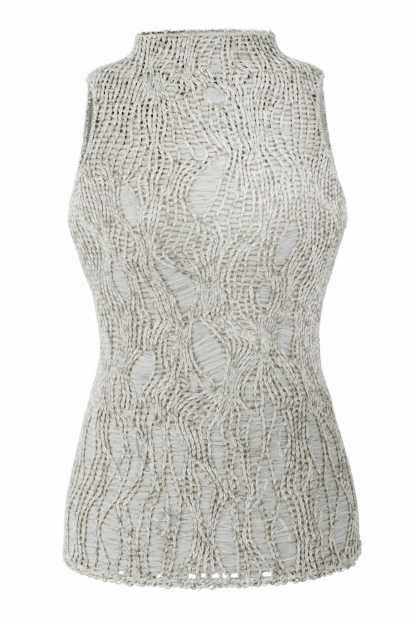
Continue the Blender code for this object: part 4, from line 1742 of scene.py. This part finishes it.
class VEST_OT_studio(bpy.types.Operator):
    """Sets up the pale floor, the soft lamps and the camera."""
    bl_idname = "vest.studio"
    bl_label = "Studio"

    def execute(self, context):
        self.add_floor()
        for lamp in LAMPS:
            self.add_lamp(lamp)
        self.add_sky()
        self.add_camera()
        return {"FINISHED"}

    def add_floor(self):
        """The floor and the wall behind, one glowing sheet of paper."""
        deselect()
        bpy.ops.mesh.primitive_plane_add(size=FLOOR_SIZE, location=(0, FLOOR_Y, FLOOR_Z))
        floor = bpy.context.object
        floor.name = "floor"
        bpy.ops.object.transform_apply(location=True, rotation=True, scale=True)
        bpy.ops.object.mode_set(mode="EDIT")
        bpy.ops.mesh.select_mode(type="EDGE")
        far = floor.data.vertices[-1].co.y
        bpy.ops.object.mode_set(mode="OBJECT")
        for edge in floor.data.edges:
            edge.select = all(floor.data.vertices[v].co.y > far - MM for v in edge.vertices)
        bpy.ops.object.mode_set(mode="EDIT")
        bpy.ops.mesh.extrude_region_move(
            TRANSFORM_OT_translate={"value": (0, 0, WALL_HEIGHT)})
        bpy.ops.mesh.select_all(action="SELECT")
        bpy.ops.mesh.normals_make_consistent(inside=True)
        bpy.ops.object.mode_set(mode="OBJECT")
        bevel = floor.modifiers.new("sweep", "BEVEL")
        bevel.width, bevel.segments, bevel.limit_method = SWEEP_RADIUS, SWEEP_STEPS, "ANGLE"
        bpy.ops.object.modifier_apply(modifier=bevel.name)
        bpy.ops.object.shade_smooth()
        material, tree, shader = new_material("white_paper", roughness=0.9, sheen=0.0)
        shader.inputs["Base Color"].default_value = (0.92, 0.92, 0.92, 1)
        glow = add_node(tree, "ShaderNodeEmission", {"Strength": BACKDROP_GLOW})
        path = add_node(tree, "ShaderNodeLightPath", output="Is Camera Ray")
        mixed = add_node(tree, "ShaderNodeMixShader", {0: path, 1: shader.outputs[0], 2: glow})
        tree.links.new(mixed, tree.nodes["Material Output"].inputs["Surface"])
        floor.data.materials.append(material)

    def add_lamp(self, lamp):
        """One round soft lamp, turned to where it points."""
        light = bpy.data.lights.new(lamp.name, "AREA")
        light.shape, light.size, light.energy = "DISK", lamp.size, lamp.power
        light.color = srgb(lamp.warmth)
        light.spread = math.radians(lamp.spread)
        holder = bpy.data.objects.new(lamp.name, light)
        bpy.context.scene.collection.objects.link(holder)
        holder.location = (lamp.x, lamp.y, lamp.z)
        aim = Vector((lamp.aim_x, 0, lamp.aim_z)) - holder.location
        holder.rotation_euler = aim.to_track_quat("-Z", "Y").to_euler()

    def add_sky(self):
        """A faint even light, behind which the camera sees bright white."""
        world = bpy.data.worlds.new("soft_white_room")
        world.use_nodes = True
        tree = world.node_tree
        path = add_node(tree, "ShaderNodeLightPath", output="Is Camera Ray")
        strength = add_node(tree, "ShaderNodeMapRange", {
            "Value": path, "To Min": ROOM_LIGHT, "To Max": BACKDROP_GLOW})
        sky = tree.nodes["Background"]
        sky.inputs["Color"].default_value = (1, 1, 1, 1)
        tree.links.new(strength, sky.inputs["Strength"])
        bpy.context.scene.world = world

    def add_camera(self):
        """The camera, level with the chest and looking down a little, slightly rolled."""
        camera = bpy.data.cameras.new("camera")
        camera.sensor_fit = "VERTICAL"
        distance = sizes().camera_distance
        camera.angle_y = 2 * math.atan(VIEW_HEIGHT / 2 / distance)
        holder = bpy.data.objects.new("camera", camera)
        bpy.context.scene.collection.objects.link(holder)
        target = Vector((VIEW_CENTRE_X, 0, VIEW_CENTRE_Z))
        drop = CAMERA_Z - VIEW_CENTRE_Z
        holder.location = (VIEW_CENTRE_X, -math.sqrt(distance ** 2 - drop ** 2), CAMERA_Z)
        turn = (target - holder.location).to_track_quat("-Z", "Y")
        holder.rotation_euler = (turn @ Quaternion((0, 0, 1), CAMERA_ROLL)).to_euler()
        bpy.context.scene.camera = holder


class VEST_PT_panel(bpy.types.Panel):
    """Lists the vest's pieces in the order they are made, with its sizes and colours."""
    bl_idname = "VEST_PT_panel"
    bl_label = "Laddered Knit Vest"
    bl_space_type = "VIEW_3D"
    bl_region_type = "UI"
    bl_category = "Vest"

    def draw(self, context):
        for operator in MAKING_ORDER:
            self.layout.operator(operator.bl_idname)
        for group in (context.scene.vest_sizes, context.scene.vest_colours):
            box = self.layout.box()
            for key in group.__annotations__:
                box.prop(group, key)


MAKING_ORDER = (
    VEST_OT_front, VEST_OT_back, VEST_OT_neck_edge, VEST_OT_armhole_edges,
    VEST_OT_shoulder_seams, VEST_OT_hem_edge, VEST_OT_studio,
)
CLASSES = (VestSizes, VestColours, *MAKING_ORDER, VEST_PT_panel)


def register():
    for made in CLASSES:
        bpy.utils.register_class(made)
    bpy.types.Scene.vest_sizes = PointerProperty(type=VestSizes)
    bpy.types.Scene.vest_colours = PointerProperty(type=VestColours)


def unregister():
    del bpy.types.Scene.vest_sizes, bpy.types.Scene.vest_colours
    for made in reversed(CLASSES):
        bpy.utils.unregister_class(made)


def corners(box):
    """A box's two corners as plain lists."""
    return [list(corner) for corner in box]


def main():
    """Makes every piece and the studio in order."""
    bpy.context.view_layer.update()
    register()
    for operator in MAKING_ORDER:
        getattr(bpy.ops.vest, operator.bl_idname.split(".")[1])()


if __name__ == "__main__":
    main()
